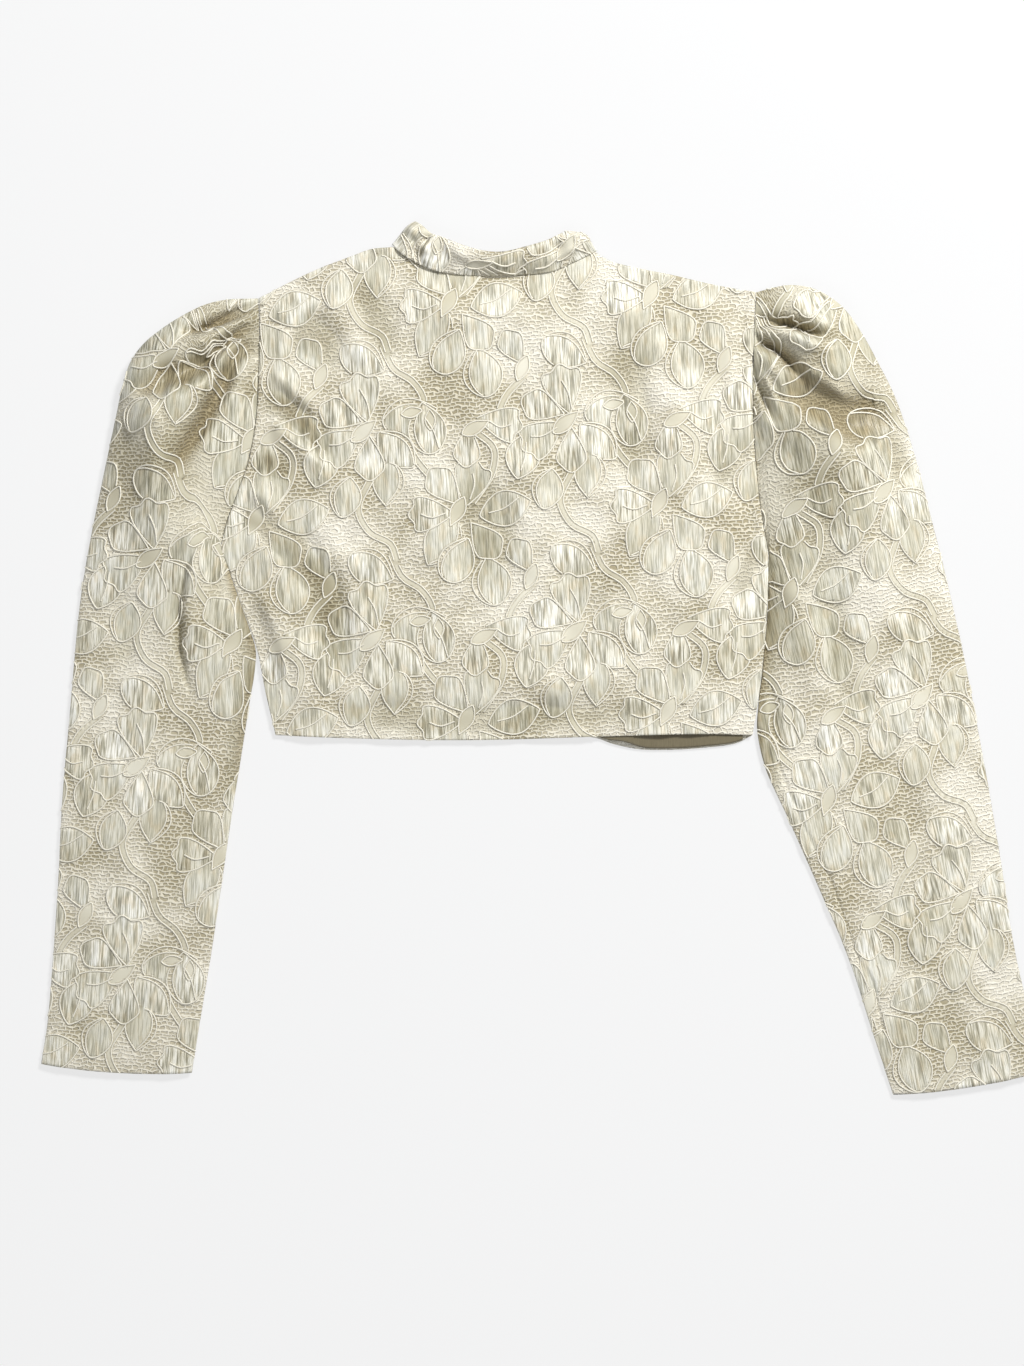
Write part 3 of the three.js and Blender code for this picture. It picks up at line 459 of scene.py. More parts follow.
# Columns: base x, y, direction in degrees, length, width, where it is widest, roundness at its base and at
# its tip, and the gap between its two contours
LEAVES = [
    (60, 90, 14, 43, 29, 0.44, 0.6, 0.95, 4.6),
    (56, 84, -46, 38, 25, 0.5, 0.75, 0.8, 3.6),
    (112, 14, 236, 40, 27, 0.46, 0.6, 0.9, 4.2),
    (131, 17, 14, 41, 27, 0.5, 0.8, 0.9, 0),
    (96, 66, 98, 40, 29, 0.45, 0.55, 0.95, 4.8),
    (104, 128, 62, 37, 27, 0.42, 0.55, 0.9, 3.8),
    (6, 44, 74, 36, 26, 0.5, 0.8, 0.75, 0),
    (64, 60, -98, 33, 24, 0.42, 0.55, 0.95, 3.8),
    (141, 108, 100, 38, 30, 0.46, 0.6, 0.85, 4.6),
    (30, 150, -30, 38, 27, 0.45, 0.6, 0.9, 4.0),
    (25, 20, 76, 32, 24, 0.5, 0.6, 0.9, 3.4),
]
# Columns: base x, y, direction in degrees, length, half of its spread in degrees, scallops
FAN_PETALS = [
    (48, 92, 100, 37, 38, 3),
    (44, 92, 158, 33, 34, 2),
    (43, 86, 212, 36, 36, 3),
    (49, 82, 268, 33, 33, 2),
    (120, 24, 74, 35, 37, 3),
    (116, 26, 128, 34, 33, 2),
    (112, 20, 180, 34, 36, 3),
    (124, 12, 306, 32, 35, 2),
    (132, 92, -14, 34, 36, 3),
    (126, 86, 262, 30, 32, 2),
    (14, 132, 118, 28, 34, 2),
]
# Small narrow leaves of plain satin, with the same columns
PATCHES = [
    (35, 78, 38, 25, 11, 0.42, 0.85, 1.0, 0),
    (108, 10, 62, 25, 11, 0.55, 0.95, 0.9, 0),
    (120, 80, 24, 23, 10, 0.42, 0.85, 1.0, 0),
    (9, 119, 66, 22, 10, 0.5, 0.9, 1.0, 0),
    (74, 97, 10, 17, 8, 0.45, 0.9, 1.0, 0),
    (96, 84, 90, 16, 8, 0.5, 0.9, 1.0, 0),
]
STEM_HALF_WIDTH = 2.3
STEMS = [
    [(62, 150), (70, 132), (84, 122), (92, 106), (84, 90), (80, 72), (90, 54), (104, 40), (110, 28)],
    [(14, 122), (0, 108), (-6, 92), (2, 74), (18, 66), (30, 70), (42, 82)],
    [(50, 76), (56, 60), (46, 44), (38, 26), (46, 8), (62, -2), (66, -14)],
    [(130, 82), (144, 68), (142, 50), (134, 38), (126, 28)],
]
# Cords that run inside a petal or a leaf
VEINS = [
    [(50, 96), (48, 108), (43, 118)],
    [(38, 82), (26, 76), (18, 76)],
    [(124, 30), (128, 42), (127, 50)],
    [(105, 20), (94, 17), (86, 20)],
    [(138, 19), (150, 22), (162, 30)],
    [(9, 50), (13, 62), (14, 72)],
    [(140, 90), (150, 84), (158, 86)],
    [(102, 70), (98, 84), (92, 94)],
]
print("leaves:", len(LEAVES), "petals:", len(FAN_PETALS), "stems:", len(STEMS))


# %% How deep a point lies inside each motif
# How fast the depth falls beyond a leaf's tips, and how deep scallops are as a share of a fan's radius
BEYOND_TIP = 1.5
SCALLOP_DEPTH = 0.055


def leaf_half_width(row, a):
    power = math.log(0.5) / math.log(row[5])
    inside = np.clip(a, 1e-6, 1 - 1e-6)
    return row[4] / 2 * np.sin(math.pi * inside**power) ** mix(row[6], row[7], inside)


def leaf_place(row, u, v):
    angle = math.radians(row[2])
    dx, dy = u - row[0], v - row[1]
    a = (dx * math.cos(angle) + dy * math.sin(angle)) / row[3]
    return a, -dx * math.sin(angle) + dy * math.cos(angle)


def leaf_depth(row, u, v):
    a, b = leaf_place(row, u, v)
    beyond = np.maximum(np.maximum(-a, a - 1), 0) * row[3]
    return leaf_half_width(row, a) - np.abs(b) - beyond * BEYOND_TIP


def inner_half_width(row, a):
    return leaf_half_width(row, a) - row[8] * np.sin(math.pi * np.clip(a, 0, 1)) ** 0.5


def fan_edge(row, angle):
    share = angle / math.radians(row[4])
    scallops = 1 + SCALLOP_DEPTH * np.cos(row[5] * math.pi * share)
    return row[3] * np.sqrt(1 - np.clip(share, -1, 1) ** 4) * scallops


def fan_depth(row, u, v):
    dx, dy = u - row[0], v - row[1]
    r = np.hypot(dx, dy)
    angle = np.mod(np.arctan2(dy, dx) - math.radians(row[2]) + math.pi, 2 * math.pi) - math.pi
    to_side = r * np.sin(np.clip(math.radians(row[4]) - np.abs(angle), -math.pi / 2, math.pi / 2))
    return np.minimum(fan_edge(row, angle) - r, to_side)


def stem_depth(line, u, v):
    best = np.full_like(u, FAR)
    for start, end in zip(line, line[1:]):
        best = np.minimum(best, to_span(u, v, start, end)[0])
    return STEM_HALF_WIDTH - best


STEM, LEAF, FAN, PATCH = range(4)
MOTIFS = (
    [(STEM, line_through(line)(np.linspace(0, 1, 26)).tolist(), stem_depth) for line in STEMS]
    + [(LEAF, row, leaf_depth) for row in LEAVES]
    + [(FAN, row, fan_depth) for row in FAN_PETALS]
    + [(PATCH, row, leaf_depth) for row in PATCHES]
)
SHIFTS = [(i * REPEAT[0], j * REPEAT[1]) for i in (-1, 0, 1) for j in (-1, 0, 1)]
print("motifs in one repeat:", len(MOTIFS))

# %% [markdown]
# The chart is worked out once on a fine grid of one repeat: how much satin, how much plain satin, how far
# the nearest cord is, and how strongly each motif's threads catch the light. Every panel looks it up by its
# place on the cloth, as if it were cut from the same bolt.

# %% Work out the chart on a grid
CHART_STEP = 0.5
# Values where the cloth has no motif, and the share by which the lustre goes on from one motif to the next
PLAIN_GROUND = {"satin": 0.0, "plain": 0.0, "cord": 20.0, "lustre": 0.5}
LUSTRE_FIRST, LUSTRE_STEP = 0.2, 0.618
chart_u = (np.arange(int(REPEAT[0] / CHART_STEP)) * CHART_STEP)[None, :]
chart_v = (np.arange(int(REPEAT[1] / CHART_STEP)) * CHART_STEP)[:, None]
chart_u, chart_v = np.broadcast_arrays(chart_u, chart_v)
chart = {name: np.full(chart_u.shape, value) for name, value in PLAIN_GROUND.items()}
for number, (what, row, depth_of) in enumerate(MOTIFS):
    for du, dv in SHIFTS:
        u, v = chart_u + du, chart_v + dv
        depth = depth_of(row, u, v)
        inside = depth > 0
        woven = inside
        chart["cord"] = np.where(inside, depth, np.minimum(chart["cord"], -depth))
        if what == LEAF and row[8]:
            a, b = leaf_place(row, u, v)
            left = inner_half_width(row, a) - b
            woven = inside & (left > 0)
            chart["cord"] = np.where(inside, np.minimum(chart["cord"], np.abs(left)), chart["cord"])
        chart["satin"] = np.where(inside, woven & (what in (LEAF, FAN)), chart["satin"])
        chart["plain"] = np.where(inside, woven & (what in (STEM, PATCH)), chart["plain"])
        chart["lustre"] = np.where(inside, (number * LUSTRE_STEP + LUSTRE_FIRST) % 1, chart["lustre"])
print("satin", round(chart["satin"].mean() * 100), "% plain", round(chart["plain"].mean() * 100), "%")


def look_up(uv):
    """Values of the chart at places on the cloth, in mm."""
    column, row = (np.mod(uv[..., k], REPEAT[k]) / CHART_STEP for k in (0, 1))
    c, r = np.floor(column).astype(int), np.floor(row).astype(int)
    s, t = column - c, row - r
    high, wide = chart["cord"].shape
    found = {}
    for name, grid in chart.items():
        lower, upper = (mix(grid[y % high, c % wide], grid[y % high, (c + 1) % wide], s) for y in (r, r + 1))
        found[name] = mix(lower, upper, t)
    return found


# Depth of the net and height of the satin, the share of it that plain satin has, and how far in from a cord
# a motif is full, in mm
NET_DROP, SATIN_RISE = 0.3, 0.45
PLAIN_SHARE, PILLOW_REACH = 0.7, 2.2


def relief(found):
    raised = np.maximum(found["satin"], PLAIN_SHARE * found["plain"])
    pillow = 1 - np.exp(-found["cord"] / PILLOW_REACH)
    return mix(-NET_DROP, SATIN_RISE, raised) * pillow


print("relief from net to satin:", SATIN_RISE + NET_DROP, "mm")

# %% [markdown]
# The cords follow the outlines of the motifs, where no later motif covers them. They are worked out once
# for one repeat and then laid over each panel.


# %% Lines of the cords in one repeat
# Spacing of a cord's points in mm, how deep under a later motif it stops, and the shortest run that is kept
CORD_STEP = 2.3
COVERED = 0.3
FEWEST_POINTS = 3


def contours(what, row):
    if what == STEM:
        line = np.array(row)
        along = np.gradient(line, axis=0)
        side = np.stack([-along[:, 1], along[:, 0]], axis=1)
        side *= STEM_HALF_WIDTH / np.linalg.norm(side, axis=1, keepdims=True)
        return [line + side, line - side]
    angle = math.radians(row[2])
    if what == FAN:
        turn = math.radians(row[4]) * np.sin(np.linspace(-math.pi / 2, math.pi / 2, 60))
        edge = fan_edge(row, turn)
        x, y = row[0] + edge * np.cos(angle + turn), row[1] + edge * np.sin(angle + turn)
        return [np.stack([x, y], axis=1)]
    a = 0.5 - 0.5 * np.cos(np.linspace(0, math.pi, 40))
    b = leaf_half_width(row, a)
    loops = [(np.concatenate([a, a[-2::-1]]), np.concatenate([b, -b[-2::-1]]))]
    if row[8]:
        a = np.linspace(0.04, 0.96, 30)
        loops.append((a, inner_half_width(row, a)))
    return [np.stack([
        row[0] + a * row[3] * math.cos(angle) - b * math.sin(angle),
        row[1] + a * row[3] * math.sin(angle) + b * math.cos(angle),
    ], axis=1) for a, b in loops]


def evenly_spaced(line, step):
    length = length_along(line)
    count = max(FEWEST_POINTS, int(round(length[-1] / step)) + 1)
    s = np.linspace(0, length[-1], count)
    return np.stack([np.interp(s, length, line[:, k]) for k in range(2)], axis=1)


def visible_runs(points, shown):
    runs, run = [], []
    for point, show in zip(points, shown):
        if show:
            run.append(point)
        elif run:
            runs.append(np.array(run))
            run = []
    if run:
        runs.append(np.array(run))
    return [r for r in runs if len(r) >= FEWEST_POINTS]


CORDS = [evenly_spaced(line_through(vein)(np.linspace(0, 1, 12)), CORD_STEP) for vein in VEINS]
for index, (what, row, _) in enumerate(MOTIFS):
    for line in contours(what, row):
        line = evenly_spaced(line, CORD_STEP)
        shown = np.ones(len(line), bool)
        for _, later_row, depth_of in MOTIFS[index + 1:]:
            for du, dv in SHIFTS:
                shown &= depth_of(later_row, line[:, 0] + du, line[:, 1] + dv) < COVERED
        CORDS += visible_runs(line, shown)
metres = sum(len(run) for run in CORDS) * CORD_STEP * MM
print("cord runs in one repeat:", len(CORDS), "metres:", round(metres, 2))

# %% [markdown]
# ## Helpers for meshes
#
# A panel is two grids of points, a fine one for the face that shows and a coarser one for its wrong side,
# joined along the edge. The cloth's own place in millimetres across and along the warp is kept as a UV map,
# and the chart is kept as point attributes, so the material follows the cloth into each fold.


# %% Make a cloth object from its faces
def add_cloth(name, points, faces, corner_uv, values, material):
    """An object from points in mm and faces, with its cloth map and the chart's values at its points."""
    mesh = bpy.data.meshes.new(name)
    mesh.from_pydata((points * MM).tolist(), [], faces)
    layer = mesh.uv_layers.new(name="cloth")
    layer.data.foreach_set("uv", np.asarray(corner_uv).ravel())
    for label, value in values.items():
        mesh.attributes.new(label, "FLOAT", "POINT").data.foreach_set("value", value)
    mesh.polygons.foreach_set("use_smooth", np.ones(len(mesh.polygons), bool))
    mesh.materials.append(material)
    mesh.validate()
    mesh.update()
    return put(name, mesh)


def grid_faces(rows, columns, first, flip, closed=False):
    """Quads of a grid of points. In a closed one, the last column joins the first."""
    points_across = columns - 1 if closed else columns
    r, c = np.meshgrid(np.arange(rows - 1), np.arange(columns - 1), indexing="ij")
    after = (c + 1) % points_across if closed else c + 1
    a, b = first + r * points_across + c, first + r * points_across + after
    quads = np.stack([a, b, b + points_across, a + points_across], axis=-1).reshape(-1, 4)
    corner = r * columns + c
    cells = np.stack([corner, corner + 1, corner + columns + 1, corner + columns], axis=-1).reshape(-1, 4)
    return (quads[:, ::-1], cells[:, ::-1]) if flip else (quads, cells)


def rim_faces(fine_loop, coarse_loop, ratio):
    """Faces between a fine closed loop and a coarse one that has a point at every ratio-th fine point."""
    faces = []
    n = len(coarse_loop)
    for j in range(n):
        fine = [fine_loop[(j * ratio + k) % len(fine_loop)] for k in range(ratio + 1)]
        faces.append([*fine[::-1], coarse_loop[j], coarse_loop[(j + 1) % n]])
    return faces


def border(rows, columns, first):
    """The points round the edge of a grid, in order."""
    return (
        [first + c for c in range(columns - 1)]
        + [first + r * columns + columns - 1 for r in range(rows - 1)]
        + [first + (rows - 1) * columns + c for c in range(columns - 1, 0, -1)]
        + [first + r * columns for r in range(rows - 1, 0, -1)]
    )


def shell(name, top, under, uv, ratio, flip, material, crease=None, closed=False):
    """A thin shell of cloth between a grid that shows and every ratio-th point of its wrong side."""
    low, low_uv = under[::ratio, ::ratio], uv[::ratio, ::ratio]
    rows, columns = uv.shape[:2]
    low_rows, low_columns = low_uv.shape[:2]
    wide, low_wide = top.shape[1], low.shape[1]
    first = rows * wide
    quads, cells = grid_faces(rows, columns, 0, flip, closed)
    low_quads, low_cells = grid_faces(low_rows, low_columns, first, not flip, closed)
    loops = [(border(rows, columns, 0), border(low_rows, low_columns, first), flip)]
    if closed:
        fine_end, low_end = first - wide, first + (low_rows - 1) * low_wide
        loops = [
            (range(wide), range(first, first + low_wide), flip),
            (range(fine_end, fine_end + wide), range(low_end, low_end + low_wide), not flip),
        ]
    rims = []
    for fine_loop, low_loop, over in loops:
        rim = rim_faces(fine_loop, low_loop, ratio)
        rims += [face[::-1] for face in rim] if over else rim
    points = np.vstack([top.reshape(-1, 3), low.reshape(-1, 3)])
    point_uv = np.vstack([uv[:, :wide].reshape(-1, 2), low_uv[:, :low_wide].reshape(-1, 2)])
    corner_uv = [uv.reshape(-1, 2)[cells.ravel()], low_uv.reshape(-1, 2)[low_cells.ravel()]]
    corner_uv += [point_uv[face] for face in rims]
    values = look_up(point_uv)
    # crease: how much painted shade each point of the face that shows gets
    values["crease"] = np.zeros(len(points))
    if crease is not None:
        values["crease"][:first] = crease.ravel()
    faces = quads.tolist() + low_quads.tolist() + rims
    return add_cloth(name, points, faces, np.vstack(corner_uv), values, material)


print("points round a grid of 3 x 4:", len(border(3, 4, 0)))

# %% [markdown]
# ## The back
#
# The back is one panel from side seam to side seam. Its grid is stretched between the hem, the two sides
# and the shoulders with the neckline, so its edges are the real seam lines and none of it is cut away.

# %% Points of the back
BACK_FINE, BACK_RATIO = 12, 3
BACK_SOFTNESS = 1.2
# Height, width and slope of the turned seam allowances, then depth and reach of the stitched ditch, in mm
WELT, WELT_WIDTH, WELT_SLOPE = 0.7, 7.0, 2
DITCH, DITCH_REACH = 0.8, 1.2
# Where the back climbs onto the strip of lining: shares of its width, and shares of its height
LINING_START, LINING_END = (0.62, 0.8), (0.12, 0.3)
# Depth of trough that gets the full painted shade, warm and dark
FULL_SHADE_DEPTH_BACK = 10


def back_grid(per_step):
    columns = (2 * SHOULDER_STEPS + NECK_STEPS) * per_step
    rows = (SIDE_STEPS + ARMHOLE_STEPS) * per_step
    c, r = np.arange(columns + 1) / per_step, np.arange(rows + 1) / per_step
    u, v = c / c[-1], r / r[-1]
    hem = line_through(HEM)(u)
    top = np.where(
        (c <= SHOULDER_STEPS)[:, None], line_through(SHOULDER_LEFT)(c / SHOULDER_STEPS),
        np.where(
            (c <= SHOULDER_STEPS + NECK_STEPS)[:, None],
            line_through(NECK)((c - SHOULDER_STEPS) / NECK_STEPS),
            line_through(SHOULDER_RIGHT)((c - SHOULDER_STEPS - NECK_STEPS) / SHOULDER_STEPS),
        ),
    )
    low = (r <= SIDE_STEPS)[:, None]
    up_side, up_hole = r / SIDE_STEPS, (r - SIDE_STEPS) / ARMHOLE_STEPS
    left, right = (
        np.where(low, line_through(side)(up_side), line_through(hole)(up_hole))
        for side, hole in ((SIDE_LEFT, ARMHOLE_LEFT), (SIDE_RIGHT, ARMHOLE_RIGHT))
    )
    across, up = u[None, :, None], v[:, None, None]
    corners = mix(mix(hem[0], hem[-1], across), mix(top[0], top[-1], across), up)
    plan = mix(hem[None], top[None], up) + mix(left[:, None], right[:, None], across) - corners
    x, y = plan[..., 0], plan[..., 1]
    u, v = np.broadcast_to(u[None, :], x.shape), np.broadcast_to(v[:, None], x.shape)
    from_sides = smooth(0, BACK_EDGE_BAND, np.minimum(u, 1 - u))
    inside = from_sides * smooth(0, BACK_EDGE_BAND, 1 - v)
    rise = mix(HEM_LIFT, BACK_LIFT, smooth(0, BACK_EDGE_BAND, v)) * inside
    armhole = np.maximum(0, (v * r[-1] - SIDE_STEPS) / ARMHOLE_STEPS)
    seam = ARMHOLE_LIFT * np.sin(math.pi * armhole) * (1 - from_sides)
    folds = fold_rise(BODY_FOLDS, x, y)
    soft = BACK_SOFTNESS * unevenness(x, y)
    folded = np.maximum(rise + (folds + soft) * smooth(0, 0.5, inside), LEAST_LIFT * rise)
    on_lining = LINING_LIFT * smooth(*LINING_START, u) * (1 - smooth(*LINING_END, v))
    under = BACK_UNDER + np.maximum(folded, on_lining) + seam
    # The seam allowances lie under the armhole edges and lift them, with a ditch at the stitching
    to_edge = np.minimum(u, 1 - u) * (right[:, :1] - left[:, :1])
    welt = WELT * (1 - smooth(WELT_WIDTH - WELT_SLOPE, WELT_WIDTH, to_edge))
    welt = (welt - DITCH * np.exp(-((to_edge / DITCH_REACH) ** 2))) * smooth(0, 0.1, armhole)
    # The last value is how much painted shade each trough gets
    return np.stack([x, y, under], axis=-1), welt, np.clip(-folds / FULL_SHADE_DEPTH_BACK, 0, 1)


# Turn of the grain in the photo, and where on the bolt each body panel was cut, in mm
GRAIN_BODY = math.radians(2.4)
PHASE_BODY = (20, 66)
PHASE_FRONTS = (70, 20)


def turned(x, y, angle, phase):
    u = x * math.cos(angle) + y * math.sin(angle) + phase[0]
    v = -x * math.sin(angle) + y * math.cos(angle) + phase[1]
    return u, v


print("grain of the body:", round(math.degrees(GRAIN_BODY), 1), "degrees")

# %% [markdown]
# ## Materials
#
# Corded lace brocade: a satin figure of floating warp threads on a net ground. The floats give the petals
# their vertical, silvery streaks as painted sheen, and the net shows warm shade through its holes. The same
# material serves every panel, because the cloth is the same: it reads the chart that each panel carries.
#
# Every colour is written as the eye sees it on a screen, and one function turns it to linear light. One
# function adds any node, and one gives a colour ramp its stops.

# %% Helpers for colours, nodes and ramps
def linear(hex_colour):
    srgb = [int(hex_colour[k:k + 2], 16) / 255 for k in (1, 3, 5)]
    return tuple(c / 12.92 if c <= 0.04045 else ((c + 0.055) / 1.055) ** 2.4 for c in srgb) + (1.0,)


def add(tree, kind, links=(), **settings):
    node = tree.nodes.new(kind)
    for key, value in settings.items():
        setattr(node, key, value)
    for socket, source in links:
        if isinstance(source, bpy.types.NodeSocket):
            tree.links.new(source, node.inputs[socket])
        else:
            node.inputs[socket].default_value = source
    return node


def set_stops(ramp, colours):
    """New stops for a colour ramp. Its own two, at the very ends, are taken away."""
    stops = ramp.color_ramp.elements
    for position, colour in colours:
        stops.new(position).color = linear(colour)
    stops.remove(stops[0])
    stops.remove(stops[-1])
    return ramp.outputs["Color"]


def new_material(name):
    material = bpy.data.materials.new(name)
    material.use_nodes = True
    material.node_tree.nodes.clear()
    return material, material.node_tree


print("middle grey in linear light:", round(linear("#808080")[0], 3))


# %% Corded lace brocade: the cloth map, the chart and the uneven threads
brocade, t = new_material("corded lace brocade")
cloth = add(t, "ShaderNodeUVMap", uv_map="cloth").outputs["UV"]
# The crease attribute holds how much painted shade each point gets
satin, plain, cord_gap, lustre, crease = (
    add(t, "ShaderNodeAttribute", attribute_name=name).outputs["Fac"]
    for name in ("satin", "plain", "cord", "lustre", "crease")
)
# Columns: width across the warp and length along it in mm, shift, detail
THREADS = {
    "streak": (1.3, 19.0, 0.0, 3.0),
    "thread": (0.65, 11.0, 5.3, 1.0),
    "band": (5.5, 40.0, 2.1, 1.0),
    "painted_reflection": (6.0, 15.0, 8.4, 1.0),
    "tone": (60.0, 50.0, 4.2, 2.0),
    "wobble": (8.0, 7.0, 1.7, 1.0),
}
noise = {}
for name, (wide, long, shift, detail) in THREADS.items():
    spread = add(t, "ShaderNodeMapping", [
        ("Vector", cloth), ("Location", (shift, shift, 0)), ("Scale", (1 / wide, 1 / long, 1)),
    ])
    noise[name] = add(t, "ShaderNodeTexNoise", [
        ("Vector", spread.outputs["Vector"]), ("Scale", 1.0), ("Detail", detail),
    ], noise_dimensions="2D")
print("noises:", list(noise))

# %% Satin figure: long floats that catch the light in streaks
weighted = [
    add(t, "ShaderNodeMath", [(0, noise[name].outputs["Fac"]), (1, share)], operation="MULTIPLY").outputs[0]
    for name, share in (("streak", 0.5), ("thread", 0.25), ("band", 0.25))
]
floats = add(t, "ShaderNodeMath", [(0, weighted[0]), (1, weighted[1])], operation="ADD").outputs[0]
floats = add(t, "ShaderNodeMath", [(0, floats), (1, weighted[2])], operation="ADD").outputs[0]
# Painted sheen: bright streaks where the floats catch the light, grey ones where they turn away from it
streaks = set_stops(add(t, "ShaderNodeValToRGB", [("Fac", floats)]), (
    (0.38, "#8d8979"), (0.44, "#b6b29f"), (0.5, "#dad6c6"), (0.57, "#fdfbf2"),
))
calm = add(t, "ShaderNodeMapRange", [
    ("Value", lustre), ("To Min", 0.0), ("To Max", 0.6),
]).outputs["Result"]
figure = add(t, "ShaderNodeMix", [
    (0, calm), (6, streaks), (7, linear("#d3d0be")),
], data_type="RGBA").outputs[2]
# A faint painted reflection from cool to warm, as the floats mirror the room
painted_reflection = set_stops(add(t, "ShaderNodeValToRGB", [("Fac", noise["painted_reflection"].outputs["Fac"])]), (
    (0.34, "#eceff4"), (0.46, "#ffffff"), (0.58, "#ffffff"), (0.7, "#faf0e0"),
))
figure = add(t, "ShaderNodeMix", [
    (0, 0.5), (6, figure), (7, painted_reflection),
], data_type="RGBA", blend_type="MULTIPLY").outputs[2]
print("satin figure:", len(weighted), "widths of streak")

# %% Net ground: rows of small meshes, a little uneven
# Drawn coarser than real meshes are, so that they show from the photo's distance
NET_CELL, NET_THREAD = (5.0, 2.9), 0.95
wobble = add(t, "ShaderNodeVectorMath", [
    (0, noise["wobble"].outputs["Color"]), (1, (6.0, 4.6, 0)),
], operation="MULTIPLY").outputs[0]
moved = add(t, "ShaderNodeVectorMath", [(0, cloth), (1, wobble)], operation="ADD").outputs[0]
mesh_rows = add(t, "ShaderNodeTexBrick", [
    ("Vector", moved), ("Scale", 1.0), ("Brick Width", NET_CELL[0]), ("Row Height", NET_CELL[1]),
    ("Mortar Size", NET_THREAD), ("Mortar Smooth", 1.0),
], offset=0.5).outputs["Fac"]
hole = add(t, "ShaderNodeMapRange", [
    ("Value", mesh_rows), ("From Min", 0.75), ("From Max", 0.0),
], interpolation_type="SMOOTHSTEP").outputs["Result"]
# The net is drawn tight in some places, where its holes nearly close
openness = add(t, "ShaderNodeMapRange", [
    ("Value", noise["tone"].outputs["Fac"]), ("From Min", 0.36), ("From Max", 0.64),
    ("To Min", 1.0), ("To Max", 0.35),
]).outputs["Result"]
shade = add(t, "ShaderNodeMath", [(0, hole), (1, openness)], operation="MULTIPLY").outputs[0]
net = add(t, "ShaderNodeMix", [
    (0, shade), (6, linear("#efeadb")), (7, linear("#b3aa90")),
], data_type="RGBA").outputs[2]
print("net meshes:", NET_CELL, "mm")

# %% Put the figure on the ground, and paint shade into the ditches beside the cords and into the creases
# Painted shade: the ditch beside each cord is painted darker, the nearer the cord the darker
beside = add(t, "ShaderNodeMapRange", [
    ("Value", cord_gap), ("From Min", 0.5), ("From Max", 1.9), ("To Min", 0.35), ("To Max", 0.0),
]).outputs["Result"]
tone = add(t, "ShaderNodeMapRange", [
    ("Value", noise["tone"].outputs["Fac"]), ("From Min", 0.3), ("From Max", 0.7),
    ("To Min", 0.0), ("To Max", 1.0),
]).outputs["Result"]
tone = add(t, "ShaderNodeMix", [
    (0, tone), (6, linear("#e4e1d7")), (7, linear("#ffffff")),
], data_type="RGBA").outputs[2]
# Painted shade: deep folds are painted warmer and darker, as light goes to and fro between their walls.
# The same painted shade lies beside the body and on the sleeve heads.
painted_crease_shade = set_stops(add(t, "ShaderNodeValToRGB", [("Fac", crease)]), (
    (0.02, "#ffffff"), (0.25, "#e6e5de"), (0.6, "#cecabd"), (0.98, "#b9b099"),
))
surface = net
for share, layer, blend in (
    (satin, figure, "MIX"),
    (plain, linear("#d9d5c4"), "MIX"),
    (beside, linear("#9f9373"), "MIX"),
    (1.0, tone, "MULTIPLY"),
    (1.0, painted_crease_shade, "MULTIPLY"),
):
    surface = add(t, "ShaderNodeMix", [
        (0, share), (6, surface), (7, layer),
    ], data_type="RGBA", blend_type=blend).outputs[2]

# %% Height of the weave, and the sheen of the cloth
# Satin is smooth, so it shines; the net is matt, and its holes are lower than its threads
net_height = add(t, "ShaderNodeMath", [(0, hole), (1, -0.9)], operation="MULTIPLY").outputs[0]
height = add(t, "ShaderNodeMix", [(0, satin), (2, net_height), (3, floats)]).outputs[0]
height = add(t, "ShaderNodeMix", [(0, plain), (2, height), (3, 0.4)]).outputs[0]
bump = add(t, "ShaderNodeBump", [
    ("Strength", 0.8), ("Distance", 1.2 * MM), ("Height", height),
]).outputs["Normal"]
rough = add(t, "ShaderNodeMix", [(0, satin), (2, 0.75), (3, 0.4)]).outputs[0]
shader = add(t, "ShaderNodeBsdfPrincipled", [
    ("Base Color", surface), ("Roughness", rough), ("Normal", bump),
    ("Sheen Weight", 0.2), ("Sheen Roughness", 0.45), ("Specular IOR Level", 0.4),
])
add(t, "ShaderNodeOutputMaterial", [("Surface", shader.outputs["BSDF"])])
print("nodes of the brocade:", len(t.nodes))

# %% [markdown]
# Gimp cord is a cotton core wrapped in rayon: the wraps break its shine into fine grains, so it is the
# palest and softest line on the cloth. The lining is an acetate satin, smooth and a little glossy, with
# faint lines along its warp. Its olive brown is its own colour with painted shade from the back hem laid
# into it.

# %% Gimp cord and satin lining
CORD_WRAP = 0.5
LINING_THREADS = (0.8, 9.0)
cord_thread, t = new_material("rayon gimp cord")
wrap = add(t, "ShaderNodeTexNoise", [
    ("Vector", add(t, "ShaderNodeTexCoord").outputs["Object"]),
    ("Scale", 1 / (CORD_WRAP * MM)), ("Detail", 1.0),
]).outputs["Fac"]
cord_colour = add(t, "ShaderNodeMix", [
    (0, wrap), (6, linear("#d0cab6")), (7, linear("#f3efe2")),
], data_type="RGBA").outputs[2]
bump = add(t, "ShaderNodeBump", [
    ("Strength", 0.5), ("Distance", 0.3 * MM), ("Height", wrap),
]).outputs["Normal"]
shader = add(t, "ShaderNodeBsdfPrincipled", [
    ("Base Color", cord_colour), ("Roughness", 0.5), ("Normal", bump), ("Sheen Weight", 0.2),
])
add(t, "ShaderNodeOutputMaterial", [("Surface", shader.outputs["BSDF"])])

